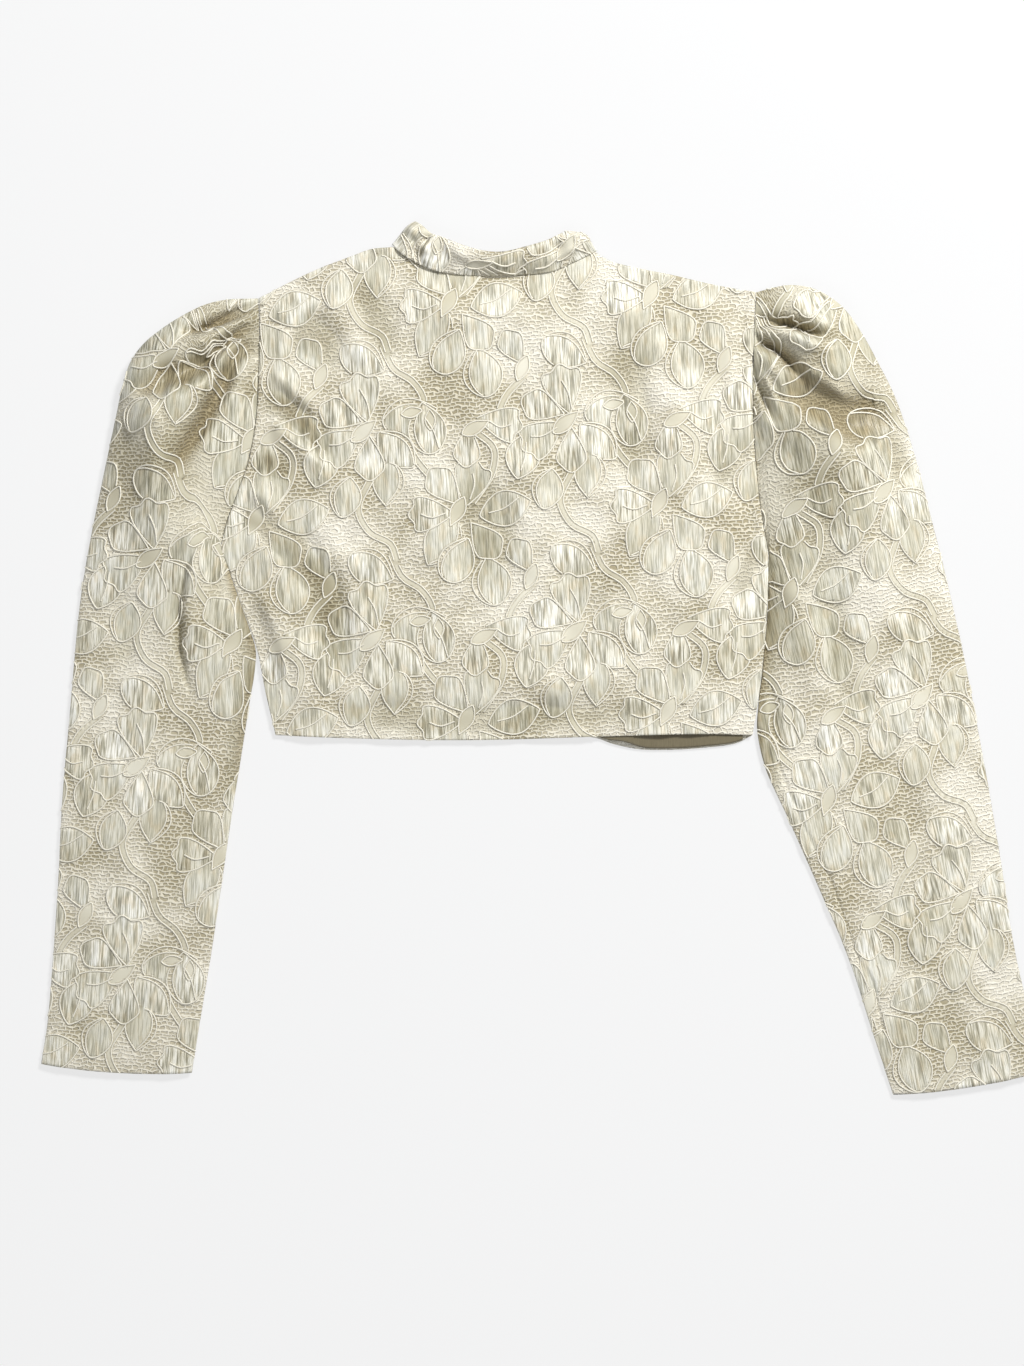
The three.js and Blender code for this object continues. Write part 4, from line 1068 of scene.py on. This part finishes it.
lining_satin, t = new_material("acetate satin lining")
weave_place = add(t, "ShaderNodeMapping", [
    ("Vector", add(t, "ShaderNodeUVMap", uv_map="cloth").outputs["UV"]),
    ("Scale", (1 / LINING_THREADS[0], 1 / LINING_THREADS[1], 1)),
])
weave = add(t, "ShaderNodeTexNoise", [
    ("Vector", weave_place.outputs["Vector"]), ("Scale", 1.0), ("Detail", 2.0),
], noise_dimensions="2D").outputs["Fac"]
# Painted shade: the lining's own olive brown, darkened for the back hem that lies over it
lining_colour_with_painted_shade = add(t, "ShaderNodeMix", [
    (0, weave), (6, linear("#60573f")), (7, linear("#786f57")),
], data_type="RGBA").outputs[2]
bump = add(t, "ShaderNodeBump", [
    ("Strength", 0.3), ("Distance", 0.3 * MM), ("Height", weave),
]).outputs["Normal"]
shader = add(t, "ShaderNodeBsdfPrincipled", [
    ("Base Color", lining_colour_with_painted_shade), ("Roughness", 0.42), ("Normal", bump), ("Sheen Weight", 0.2),
])
add(t, "ShaderNodeOutputMaterial", [("Surface", shader.outputs["BSDF"])])
print("materials:", [m.name for m in (brocade, cord_thread, lining_satin)])

# %% Build the back
back_under, welt, back_painted_shade = back_grid(BACK_FINE)
back_uv = np.stack(turned(back_under[..., 0], back_under[..., 1], GRAIN_BODY, PHASE_BODY), axis=-1)
back_top = back_under.copy()
back_top[..., 2] += WALL + welt + relief(look_up(back_uv))
back = shell("back_cloth", back_top, back_under, back_uv, BACK_RATIO, False, brocade, back_painted_shade)
print("back:", len(back.data.polygons), "faces")

# %% [markdown]
# ## The sleeves
#
# A sleeve is a tube that lies nearly flat: its lower half rests on the surface, and its upper half rises
# over it to the puffed head. Each ring crosses the sleeve from its outer to its inner edge and back.
# Along the sleeve a place is the number of its section, 0 at the armhole and 17 at the cuff. Across it a
# place is 0 at the outer edge and 1 at the inner edge.


# %% Rings of a sleeve
# The rings crowd towards the head, by this power
RING_CROWDING = 1.12
# Sections between which something begins, and between which it ends
NEARER_FROM_TO = (0.2, 1, 9.5, 11)
STEEP_FROM_TO = (0, 2, 9, 12)
BESIDE_BODY_FROM_TO = (0, 3, 11.5, 13)
# Places across the sleeve between which its folds begin and end
FOLDS_FROM_TO = (0, 0.06, 0.9, 1)
# The roll of the inner edge, the softness between the folds, and how quickly the edge rolls in
INNER_ROLL = 3.2
SLEEVE_SOFTNESS = 0.8
ROLL_STEEPNESS, ROLL_POWER = 3.2, 0.6
# Painted shade, warm and dark: the depth of trough that gets it in full, its amount beside the body with its
# reach in mm, and its amount on the head's cloth, which lies at a slant
FULL_SHADE_DEPTH_SLEEVE = 11
TUCK_SHADE, TUCK_REACH = 0.75, 9
HEAD_SHADE = 0.2


def sleeve_rings(rows, armhole_points, folds, side, per_ring, per_point):
    table = np.array(rows, float)
    count = SLEEVE_RINGS * per_ring
    over, under = OVER_STEPS * per_point, UNDER_STEPS * per_point
    last = len(rows) - 1
    place = last * (np.arange(count + 1) / count) ** RING_CROWDING

    def value(key, where):
        return column_value(table[:, key], where)

    ox, oy, ix, iy, bow, crown, roll, arch_power = (value(k, place)[:, None] for k in range(8))
    # Nearer to the body than the solid is, so that no floor shows between them
    ix = ix - side * (NEARER_BODY * plateau(NEARER_FROM_TO, place))[:, None]
    chord = np.hypot(ix - ox, iy - oy)
    before, after = np.maximum(place - 0.4, 0), np.minimum(place + 0.4, last)
    square = smooth(0, 1.2, place)[:, None]

    def inset(key_x, key_y, way):
        dx, dy = (value(k, after) - value(k, before) for k in (key_x, key_y))
        scale = way * side * EDGE_INSET / np.hypot(dx, dy)
        across = way * EDGE_INSET / chord
        return (
            mix(across * (ix - ox), (dy * scale)[:, None], square),
            mix(across * (iy - oy), (-dx * scale)[:, None], square),
        )

    from_outer, from_inner = inset(OX, OY, 1), inset(IX, IY, -1)
    # At the armhole a ring follows the seam, and further on its own section
    seam_share = ((1 - smooth(0, 5, place)) ** 1.5)[:, None]
    belly = (CUFF_BELLY * smooth(last - 2, last, place))[:, None]
    density = mix(HEAD_DENSITY, 1, smooth(0, 7, place))[:, None]
    fold_share = smooth(-0.9, 1.3, place)[:, None]
    k = np.arange(over + under)
    is_over = (k <= over)[None, :]
    t = np.where(k <= over, k / over, 1 - (k - over) / under)[None, :]
    even = np.where(is_over, t ** density, t)
    c = mix(even, 0.5 - 0.5 * np.cos(math.pi * even), 0.5)
    seam = line_through(armhole_points)(1 - c)
    first = table[0]
    bowed = side * bow * BOW_PEAK * c * c * (1 - c) / chord
    x = (
        mix(ox, ix, c) + (seam[..., 0] + side * SEAM_SHIFT - mix(first[OX], first[IX], c)) * seam_share
        - bowed * (iy - oy)
    )
    y = (
        mix(oy, iy, c) + (seam[..., 1] - mix(first[OY], first[IY], c)) * seam_share
        + bowed * (ix - ox) - belly * 4 * c * (1 - c)
    )
    near_outer, near_inner = np.exp(-c * chord / EDGE_REACH), np.exp(-(1 - c) * chord / EDGE_REACH)
    inner_x = x + from_outer[0] * near_outer + from_inner[0] * near_inner
    inner_y = y + from_outer[1] * near_outer + from_inner[1] * near_inner
    # Heights: a roll at each edge, an arch between them, then the folds
    bulge = np.sin(math.pi * c)
    lean = (1 - smooth(8, 13, place))[:, None] * smooth(0.2, 0.7, c)
    arch = bulge ** arch_power * (1 - UNDERARM_FALL * lean)
    fade = plateau(FOLDS_FROM_TO, c) * fold_share
    rolled = mix(roll, np.minimum(roll, INNER_ROLL), smooth(0.1, 0.6, c))
    flat = np.minimum(1, bulge * ROLL_STEEPNESS) ** ROLL_POWER
    soft = SLEEVE_SOFTNESS * unevenness(x, y) * np.minimum(1, bulge * 1.5) * smooth(0.2, 2, place)[:, None]
    wall_down = mix(WALL, WALL * SLOPE_ALLOWANCE, plateau(STEEP_FROM_TO, place))[:, None]
    base = rolled + (crown - rolled) * arch
    folded = (fold_rise(folds, x, y) * fade + soft) * is_over
    folded = np.maximum(folded, np.minimum(0, LEAST_SLEEVE_HEIGHT - base))
    # The wrong side follows the deepest of the points nearby, so it never comes through a sharp crease
    deepest = np.minimum.reduce([np.roll(folded, shift, axis=1) for shift in (-2, -1, 0, 1, 2)])
    under_z = rolled * (1 - flat)
    outer = np.stack([x, y, np.where(is_over, base + folded, under_z)], axis=-1)
    inner_over = rolled + (crown - wall_down - rolled) * arch + deepest
    inner_under = rolled - (rolled - WALL) * flat
    inner = np.stack([inner_x, inner_y, np.where(is_over, inner_over, inner_under)], axis=-1)
    # Painted shade for the brocade: in troughs, beside the body, and on the head's cloth where it lies at a
    # slant
    beside_body = plateau(BESIDE_BODY_FROM_TO, place)[:, None]
    tucked_shade = TUCK_SHADE * beside_body * np.exp(-(((1 - c) * chord / TUCK_REACH) ** 2))
    slant_shade = (HEAD_SHADE * (1 - smooth(6, 11, place)))[:, None]
    crease = np.clip(np.maximum(-folded / FULL_SHADE_DEPTH_SLEEVE, tucked_shade) + slant_shade, 0, 1)
    return outer, inner, over, crease


def sleeve_cloth_uv(rings, over, angle, phase):
    """Place on the cloth: flat over the top, plus the extra length that the folds and the edges take up.

    It has one column more than the rings, for the cut edge that meets the first column in the seam.
    """
    flat_u, flat_v = turned(rings[..., 0], rings[..., 1], angle, phase)
    loop = np.concatenate([rings, rings[:, :1]], axis=1)
    along_cloth = np.linalg.norm(np.diff(loop, axis=1), axis=2)
    in_plan = np.linalg.norm(np.diff(loop[..., :2], axis=1), axis=2)
    taken_up = np.cumsum(along_cloth - in_plan, axis=1)[:, :-1]
    extra = np.concatenate([np.zeros((len(rings), 1)), taken_up], axis=1)
    extra = extra - extra[:, over // 2][:, None]
    du, dv = flat_u[:, over] - flat_u[:, 0], flat_v[:, over] - flat_v[:, 0]
    way_u, way_v = (du / np.hypot(du, dv))[:, None], (dv / np.hypot(du, dv))[:, None]
    u, v = (
        np.concatenate([flat + extra * way, flat[:, :1]], axis=1)
        for flat, way in ((flat_u, way_u), (flat_v, way_v))
    )
    below = np.cumsum(along_cloth[:, over:], axis=1)
    u[:, over + 1:] = u[:, over:over + 1] + below * way_u
    v[:, over + 1:] = v[:, over:over + 1] + below * way_v
    return np.stack([u, v], axis=-1)


print("points round a sleeve:", OVER_STEPS + UNDER_STEPS, "steps, and", SLEEVE_RINGS, "along it")


# %% Build a sleeve as one closed shell
RING_FINE, POINT_FINE, SLEEVE_RATIO = 10, 6, 2


def build_sleeve(name, rows, armhole, folds, side, angle, phase):
    outer, inner, over, crease = sleeve_rings(rows, armhole, folds, side, RING_FINE, POINT_FINE)
    uv = sleeve_cloth_uv(outer, over, angle, phase)
    outer[:, :over + 1, 2] += relief(look_up(uv[:, :over + 1]))
    piece = shell(name, outer, inner, uv, SLEEVE_RATIO, side < 0, brocade, crease, closed=True)
    return piece, outer[:, :over + 1], uv[:, :over + 1]


# The grain runs along each sleeve, and each was cut from its own place on the bolt
GRAIN_LEFT, GRAIN_RIGHT = math.radians(-4.0), math.radians(11.0)
PHASE_LEFT, PHASE_RIGHT = (40, 30), (75, 10)
sleeve_left, left_top, left_uv = build_sleeve(
    "sleeve_left_cloth", SLEEVE_LEFT, ARMHOLE_LEFT, FOLDS_LEFT, -1, GRAIN_LEFT, PHASE_LEFT,
)
sleeve_right, right_top, right_uv = build_sleeve(
    "sleeve_right_cloth", SLEEVE_RIGHT, ARMHOLE_RIGHT, FOLDS_RIGHT, 1, GRAIN_RIGHT, PHASE_RIGHT,
)
print("sleeves:", len(sleeve_left.data.polygons), "and", len(sleeve_right.data.polygons), "faces")

# %% [markdown]
# ## The collar
#
# The stand collar is a band. Across the back neck it stands up a little, it folds over at each side of the
# neck, and its two ends run down the front necklines, hidden under the back. Its crinkles are small dents
# and bumps, a row for each. From the middle to the right its seam is pressed thin, as in the photo.

# %% Build the collar
COLLAR_ALONG, COLLAR_ACROSS, COLLAR_RATIO = 12, 18, 2
# Share of the wall that pressing takes away, the sections where it does so, and how far up the band
PRESSED_SHARE = 0.72
PRESSED_FROM_TO = (9.2, 10.6, 16.4, 17)
PRESSED_REACH = 0.24
# The folded band shows less relief than the flat panels do
COLLAR_RELIEF = 0.6
# Where on the bolt the band was cut, and its width there, in mm
PHASE_COLLAR, COLLAR_WIDTH = (96, 70), 30
# Columns: section, place across the band from 0 to 1, half length in sections, half width, rise in mm
CRINKLES = [
    (6.8, 0.72, 0.3, 0.16, 2.6),
    (7.2, 0.5, 0.3, 0.12, -3.0),
    (7.5, 0.86, 0.22, 0.12, 2.2),
    (7.9, 0.78, 0.3, 0.16, -4.4),
    (7.7, 0.28, 0.35, 0.16, -2.6),
    (8.3, 0.5, 0.3, 0.16, 3.2),
    (8.5, 0.2, 0.3, 0.14, 2.0),
    (9.2, 0.6, 0.35, 0.3, -3.4),
    (9.9, 0.75, 0.3, 0.2, 2.2),
    (10.2, 0.35, 0.3, 0.2, -1.6),
    (10.8, 0.3, 0.3, 0.3, -1.0),
    (11.8, 0.6, 0.4, 0.3, 0.8),
    (12.7, 0.35, 0.3, 0.3, -1.0),
    (13.6, 0.4, 0.35, 0.2, 1.2),
    (14.3, 0.2, 0.5, 0.15, -1.4),
    (14.6, 0.64, 0.45, 0.22, -4.6),
    (15.3, 0.4, 0.7, 0.12, 2.6),
    (16.4, 0.7, 0.6, 0.35, 1.6),
]


def collar_surface(per_row, across):
    table = np.array(COLLAR, float)
    last = len(COLLAR) - 1
    place = np.linspace(0, last, last * per_row + 1)
    t = np.linspace(0, 1, across + 1)

    def at(where):
        rows = np.arange(last + 1)
        columns = [column_value(table[:, k], where) for k in range(6)]
        columns[2], columns[5] = (np.interp(where, rows, table[:, k]) for k in (2, 5))
        seam, free = np.stack(columns[:3], axis=-1), np.stack(columns[3:], axis=-1)
        return mix(seam[:, None], free[:, None], t[None, :, None])

    middle = at(place)
    along = at(np.minimum(place + 0.5, last)) - at(np.maximum(place - 0.5, 0))
    across_way = middle[:, -1:] - middle[:, :1]
    normal = np.cross(along, np.broadcast_to(across_way, along.shape))
    normal /= np.linalg.norm(normal, axis=-1, keepdims=True)
    crinkle = 0
    for row, across_at, half_along, half_across, rise in CRINKLES:
        off_along = (place[:, None] - row) / half_along
        off_across = (t[None, :] - across_at) / half_across
        crinkle = crinkle + rise * np.exp(-(off_along**2) - off_across**2)
    crinkle = crinkle + column_value(COLLAR_ROLL, place)[:, None] * BOW_PEAK * t * t * (1 - t)
    run = length_along(middle[:, across // 2])
    across_cloth = PHASE_COLLAR[1] + COLLAR_WIDTH * t[None, :]
    uv = np.stack(np.broadcast_arrays(PHASE_COLLAR[0] + run[:, None], across_cloth), axis=-1)
    pressed = plateau(PRESSED_FROM_TO, place)[:, None] * (1 - smooth(0, PRESSED_REACH, t))
    half_wall = (WALL / 2 * (1 - PRESSED_SHARE * pressed))[..., None]
    middle[..., 2] -= WALL / 2 * PRESSED_SHARE * pressed
    return middle + normal * crinkle[..., None], normal * half_wall, uv


middle, half_wall, collar_uv = collar_surface(COLLAR_ALONG, COLLAR_ACROSS)
outside = middle + half_wall * (1 + COLLAR_RELIEF * relief(look_up(collar_uv))[..., None])
inside = middle - half_wall
for face_points in (outside, inside):
    face_points[..., 2] = np.maximum(face_points[..., 2], 0)
collar = shell("collar_cloth", outside, inside, collar_uv, COLLAR_RATIO, True, brocade)
print("collar:", len(collar.data.polygons), "faces")

# %% [markdown]
# ## Cords as geometry nodes
#
# A cord follows the cloth, so its lines are carried from the chart to the surface: each point of a line is
# looked up in the panel's cloth map and takes the place of that spot in the folded cloth. A small node tree
# then turns all the lines of a panel into round cords of one thickness.

# %% The cord tree
CORD_RADIUS = 0.64
CORD_SIDES = 5
cord_tree = bpy.data.node_groups.new("cords along lines", "GeometryNodeTree")
face = cord_tree.interface
face.new_socket("Lines", in_out="INPUT", socket_type="NodeSocketGeometry")
radius_socket = face.new_socket("Cord radius", in_out="INPUT", socket_type="NodeSocketFloat")
sides_socket = face.new_socket("Cord sides", in_out="INPUT", socket_type="NodeSocketInt")
material_socket = face.new_socket("Cord material", in_out="INPUT", socket_type="NodeSocketMaterial")
face.new_socket("Cords", in_out="OUTPUT", socket_type="NodeSocketGeometry")
given = add(cord_tree, "NodeGroupInput")
curve = add(cord_tree, "GeometryNodeMeshToCurve", [("Mesh", given.outputs["Lines"])])
ring = add(cord_tree, "GeometryNodeCurvePrimitiveCircle", [
    ("Resolution", given.outputs["Cord sides"]), ("Radius", given.outputs["Cord radius"]),
])
tube = add(cord_tree, "GeometryNodeCurveToMesh", [
    ("Curve", curve.outputs["Curve"]), ("Profile Curve", ring.outputs["Curve"]), ("Fill Caps", True),
])
smoothed = add(cord_tree, "GeometryNodeSetShadeSmooth", [("Geometry", tube.outputs["Mesh"])])
real = add(cord_tree, "GeometryNodeRealizeInstances", [("Geometry", smoothed.outputs["Geometry"])])
painted = add(cord_tree, "GeometryNodeSetMaterial", [
    ("Geometry", real.outputs["Geometry"]), ("Material", given.outputs["Cord material"]),
])
add(cord_tree, "NodeGroupOutput", [("Cords", painted.outputs["Geometry"])])
print("inputs of the cord tree:", [s.name for s in face.items_tree if s.in_out == "INPUT"])

# %% Carry the cords onto a panel
# How far a cord's middle lies above the cloth, and how far beyond the cut edge it may start, in mm
CORD_LIFT = 0.24
EDGE_SLACK = 0.4
# How far outside a triangle a point may lie and still count as in it, as a share of its size
CORNER_SLACK = 0.02
NEARLY_NOTHING = 1e-12
# Cords on the sleeves and the collar stop where they turn under, below these heights
SLEEVE_CORDS_FROM, COLLAR_CORDS_FROM = 1.2, 3.2


def lay_cords(name, surface, uv, flip=False, lowest=-FAR):
    """Cords on a grid of surface points, in mm, wherever the cloth map has them above the lowest height."""
    rows, columns = uv.shape[:2]
    quads, _ = grid_faces(rows, columns, 0, flip)
    co, flat = surface.reshape(-1, 3), np.hstack([uv.reshape(-1, 2), np.zeros((rows * columns, 1))])
    tree = BVHTree.FromPolygons(flat.tolist(), quads.tolist())
    low, high = uv.min((0, 1)), uv.max((0, 1))
    lines = []
    for i in range(int(low[0] // REPEAT[0]) - 1, int(high[0] // REPEAT[0]) + 2):
        for j in range(int(low[1] // REPEAT[1]) - 1, int(high[1] // REPEAT[1]) + 2):
            for run in CORDS:
                shifted = run + (i * REPEAT[0], j * REPEAT[1])
                if (shifted.max(0) < low).any() or (shifted.min(0) > high).any():
                    continue
                placed = [spot(tree, quads, flat, co, point) for point in shifted]
                shown = [p is not None and p[2] > lowest for p in placed]
                lines += visible_runs(placed, shown)
    return cords_from_lines(name, [line * MM for line in lines])


def spot(tree, quads, flat, co, point):
    """The place in the folded cloth of a point of the chart, just above the surface."""
    hit, _, index, _ = tree.find_nearest(Vector((point[0], point[1], 0)), EDGE_SLACK)
    if hit is None:
        return None
    corners = co[quads[index]]
    normal = np.cross(corners[2] - corners[0], corners[3] - corners[1])
    normal /= np.linalg.norm(normal) + NEARLY_NOTHING
    return quad_weights(flat[quads[index], :2], (hit.x, hit.y)) @ corners + normal * CORD_LIFT


def quad_weights(corners, point):
    """Weights of a quad's corners at a point, by its two halves."""
    a, b, c, d = corners
    for (i, p), (j, q), (k, r) in (((0, a), (1, b), (2, c)), ((0, a), (2, c), (3, d))):
        m = np.array([q - p, r - p]).T
        det = m[0, 0] * m[1, 1] - m[0, 1] * m[1, 0]
        if abs(det) < NEARLY_NOTHING:
            continue
        e = np.array(point) - p
        s = (e[0] * m[1, 1] - e[1] * m[0, 1]) / det
        t = (m[0, 0] * e[1] - m[1, 0] * e[0]) / det
        if s >= -CORNER_SLACK and t >= -CORNER_SLACK and s + t <= 1 + CORNER_SLACK:
            weights = np.zeros(4)
            weights[[i, j, k]] = 1 - s - t, s, t
            return weights
    return np.full(4, 0.25)


def cords_from_lines(name, lines):
    """Round cords along lines of points, as a plain mesh."""
    points = np.vstack(lines)
    edges, start = [], 0
    for line in lines:
        edges += [(start + k, start + k + 1) for k in range(len(line) - 1)]
        start += len(line)
    mesh = bpy.data.meshes.new(name + "_lines")
    mesh.from_pydata(points.tolist(), edges, [])
    carrier = put(name + "_lines", mesh)
    modifier = carrier.modifiers.new("cords", "NODES")
    modifier.node_group = cord_tree
    modifier[radius_socket.identifier] = CORD_RADIUS * MM
    modifier[sides_socket.identifier] = CORD_SIDES
    modifier[material_socket.identifier] = cord_thread
    evaluated = carrier.evaluated_get(bpy.context.evaluated_depsgraph_get())
    made = bpy.data.meshes.new_from_object(evaluated)
    bpy.data.objects.remove(carrier)
    print(name, len(lines), "runs,", sum(len(p.vertices) - 2 for p in made.polygons), "triangles")
    return put(name, made)


back_cords = lay_cords("back_cords", back_top, back_uv)
left_cords = lay_cords("sleeve_left_cords", left_top, left_uv, True, SLEEVE_CORDS_FROM)
right_cords = lay_cords("sleeve_right_cords", right_top, right_uv, False, SLEEVE_CORDS_FROM)
collar_cords = lay_cords("collar_cords", outside, collar_uv, True, COLLAR_CORDS_FROM)

# %% [markdown]
# ## The hidden fronts and the strip of lining
#
# The fronts lie flat on the surface under the back. Only a sliver of the right front's lining shows below
# the back hem.

# %% Fronts
# The line where the two fronts meet, and half of the gap between them
CENTRE_FRONT_X, CENTRE_FRONT_HALF_GAP = -29, 1
# How far the hidden hem lies inside the back's, and the share of the hem that the left front has
HIDDEN_HEM_SETBACK, LEFT_SHARE_OF_HEM = 2.5, 0.47


def front_neck(first_row, last_row, outward):
    """Edge of a front along the collar's seam, with a free gap to it."""
    place = np.linspace(first_row, last_row, abs(last_row - first_row) * 4 + 1)
    table = np.array(COLLAR, float)
    return np.stack([
        column_value(table[:, 0], place) + outward * 2 * SEAM_GAP,
        column_value(table[:, 1], place) - 2 * SEAM_GAP,
    ], axis=1)


def turns_left(points):
    """Whether a closed outline runs against the clock, seen from above."""
    x, y = points[:, 0], points[:, 1]
    return (x * np.roll(y, -1) - np.roll(x, -1) * y).sum() > 0


def flat_front(name, outline):
    """A flat panel of cloth: its outline filled below and above, with a rim between the two."""
    count = len(outline)
    bottom = np.column_stack([outline, np.zeros(count)])
    points = np.vstack([bottom, bottom + (0, 0, WALL)])
    filled = [list(face) for face in tessellate_polygon([[Vector(point) for point in bottom]])]
    filled = [face if turns_left(outline[face]) else face[::-1] for face in filled]
    rim = [[k, (k + 1) % count, count + (k + 1) % count, count + k] for k in range(count)]
    rim = rim if turns_left(outline) else [face[::-1] for face in rim]
    faces = [[count + k for k in face] for face in filled] + [face[::-1] for face in filled] + rim
    uv = np.stack(turned(points[:, 0], points[:, 1], GRAIN_BODY, PHASE_FRONTS), axis=-1)
    values = {key: np.full(len(points), value) for key, value in {**PLAIN_GROUND, "crease": 0.0}.items()}
    return add_cloth(name, points, faces, uv[np.concatenate(faces)], values, brocade)


along = np.linspace(0, 1, 25)
along_fine = np.linspace(0, 1, 49)
hem_left = line_through(HEM)(along * LEFT_SHARE_OF_HEM)
hem_left[:, 1] += HIDDEN_HEM_SETBACK * smooth(0, 0.1, along)
front_left = flat_front("front_left_cloth", np.vstack([
    line_through(SIDE_LEFT)(along), line_through(ARMHOLE_LEFT)(along_fine)[1:],
    line_through(SHOULDER_LEFT)(along)[1:], front_neck(COLLAR_FOLD_LEFT - 1, 0, -1),
    [(CENTRE_FRONT_X - CENTRE_FRONT_HALF_GAP, hem_left[-1, 1])], hem_left[1:-1][::-1],
]))
front_right = flat_front("front_right_cloth", np.vstack([
    line_through(SIDE_RIGHT)(along), line_through(ARMHOLE_RIGHT)(along_fine)[1:],
    line_through(SHOULDER_RIGHT)(along)[:-1][::-1],
    front_neck(COLLAR_FOLD_RIGHT + 1, len(COLLAR) - 1, 1),
    [(CENTRE_FRONT_X + CENTRE_FRONT_HALF_GAP, FRONT_HEM_RIGHT[0][1])],
    line_through(FRONT_HEM_RIGHT)(along_fine)[1:-1],
]))
print("fronts:", [len(o.data.polygons) for o in (front_left, front_right)], "faces")

# %% [markdown]
# The lining starts a little inside the front's edge, because the outer cloth turns over that edge. It ends
# a little above the back's hem, where it can't be seen any more.

# %% Lining
# Shares of the hem where it starts and ends, width of the turned edge, and the strip's upper edge
LINING_FROM, LINING_TO = 0.34, 0.955
LINING_TURN, LINING_TOP_Y = 1.2, -46
# Where the turned edge of the front shows wider: place x, half length, extra width
WIDE_TURN = (62, 11, 2.6)
LINING_STEPS, LINING_RATIO = (84, 12), 3


def lining_grid(steps_along, steps_across):
    hem = line_through(FRONT_HEM_RIGHT)(mix(LINING_FROM, LINING_TO, np.linspace(0, 1, steps_along + 1)))
    share = np.linspace(0, 1, steps_across + 1)[:, None]
    turn = LINING_TURN + WIDE_TURN[2] * np.exp(-(((hem[:, 0] - WIDE_TURN[0]) / WIDE_TURN[1]) ** 2))
    y = mix((hem[:, 1] + turn)[None], LINING_TOP_Y, share)
    x = np.broadcast_to(hem[None, :, 0], y.shape)
    return np.stack([x, y, np.full(x.shape, WALL + SEAM_GAP)], axis=-1)


lining_under = lining_grid(*LINING_STEPS)
lining_top = lining_under + (0, 0, LINING_WALL)
lining_uv = lining_under[..., :2].copy()
lining = shell("lining_right_cloth", lining_top, lining_under, lining_uv, LINING_RATIO, False, lining_satin)
print("lining:", len(lining.data.polygons), "faces")

# %% [markdown]
# ## Floor and light
#
# A plain pale floor and soft studio light. The key light comes from the collar's side, low enough for the
# cords and the net to cast small shadows, and the wide sky fills the rest.

# %% Floor
FLOOR_HALF, FLOOR_DROP = 4.0, 0.0002
PAPER_WHITE = linear("#f2f2f2")
# The share of its white that the paper gives off by itself, as a light table does, so shadows stay faint
PAPER_GLOW = 0.78
floor_mesh = bpy.data.meshes.new("floor")
floor_corners = [
    (x * FLOOR_HALF, y * FLOOR_HALF, -FLOOR_DROP) for x, y in ((-1, -1), (1, -1), (1, 1), (-1, 1))
]
floor_mesh.from_pydata(floor_corners, [], [(0, 1, 2, 3)])
floor_paint, t = new_material("matt white paper")
paper = add(t, "ShaderNodeBsdfDiffuse", [("Color", PAPER_WHITE)])
glow = add(t, "ShaderNodeEmission", [("Color", PAPER_WHITE), ("Strength", 1.0)])
blend = add(t, "ShaderNodeMixShader", [(0, PAPER_GLOW), (1, paper.outputs[0]), (2, glow.outputs[0])])
add(t, "ShaderNodeOutputMaterial", [("Surface", blend.outputs[0])])
floor_mesh.materials.append(floor_paint)
floor = put("floor", floor_mesh)
print("floor:", 2 * FLOOR_HALF, "m wide")


# %% Lights and the view transform
# Columns: name, place in metres, size in metres, power in watts, and the place it is aimed at
LIGHTS = [
    ("key", (1.0, 1.45, 1.75), 0.55, 69, (0.0, 0.05, 0.0)),
    ("fill", (-0.5, -1.5, 2.0), 1.6, 11, (0.0, 0.0, 0.0)),
]
for name, place, size, power, target in LIGHTS:
    lamp = bpy.data.lights.new(name, "AREA")
    lamp.shape, lamp.size, lamp.energy = "DISK", size, power
    light = put(name, lamp)
    light.location = place
    light.rotation_euler = (Vector(target) - Vector(place)).to_track_quat("-Z", "Y").to_euler()
world = bpy.data.worlds.new("studio")
world.use_nodes = True
world.node_tree.nodes["Background"].inputs["Color"].default_value = linear("#f4f6fa")
world.node_tree.nodes["Background"].inputs["Strength"].default_value = 0.36
bpy.context.scene.world = world
bpy.context.scene.view_settings.view_transform = "Standard"
print("lights:", [row[0] for row in LIGHTS])

# %% [markdown]
# ## Riding on the body
#
# Each piece rides on the one body and stands for its solid, which is hidden; the size that it was cut to is
# only listed.

# %% Ride and replace
# Columns: piece, its solid, flat size and area in metres, what it rests on, the pieces that go with it
CUTS = [
    (back, "back", (0.43, 0.39), 0.150, ["front_left_cloth", "front_right_cloth"], [back_cords]),
    (sleeve_left, "sleeve_left", (0.38, 0.64), 0.165, ["floor"], [left_cords]),
    (sleeve_right, "sleeve_right", (0.40, 0.66), 0.185, ["floor"], [right_cords]),
    (collar, "collar", (0.36, 0.032), 0.0105, ["front_left_cloth", "front_right_cloth"], [collar_cords]),
    (front_left, "front_left", (0.22, 0.38), 0.0655, ["floor"], []),
    (front_right, "front_right", (0.21, 0.39), 0.0665, ["floor"], []),
    (lining, "lining_right", (0.116, 0.026), 0.0024, ["front_right_cloth"], []),
]

for piece, node, flat, area, rests_on, extra in CUTS:
    for each in [piece, *extra]:
        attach(each, "root")
    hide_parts(node)
print("sheets declared:", len(CUTS))
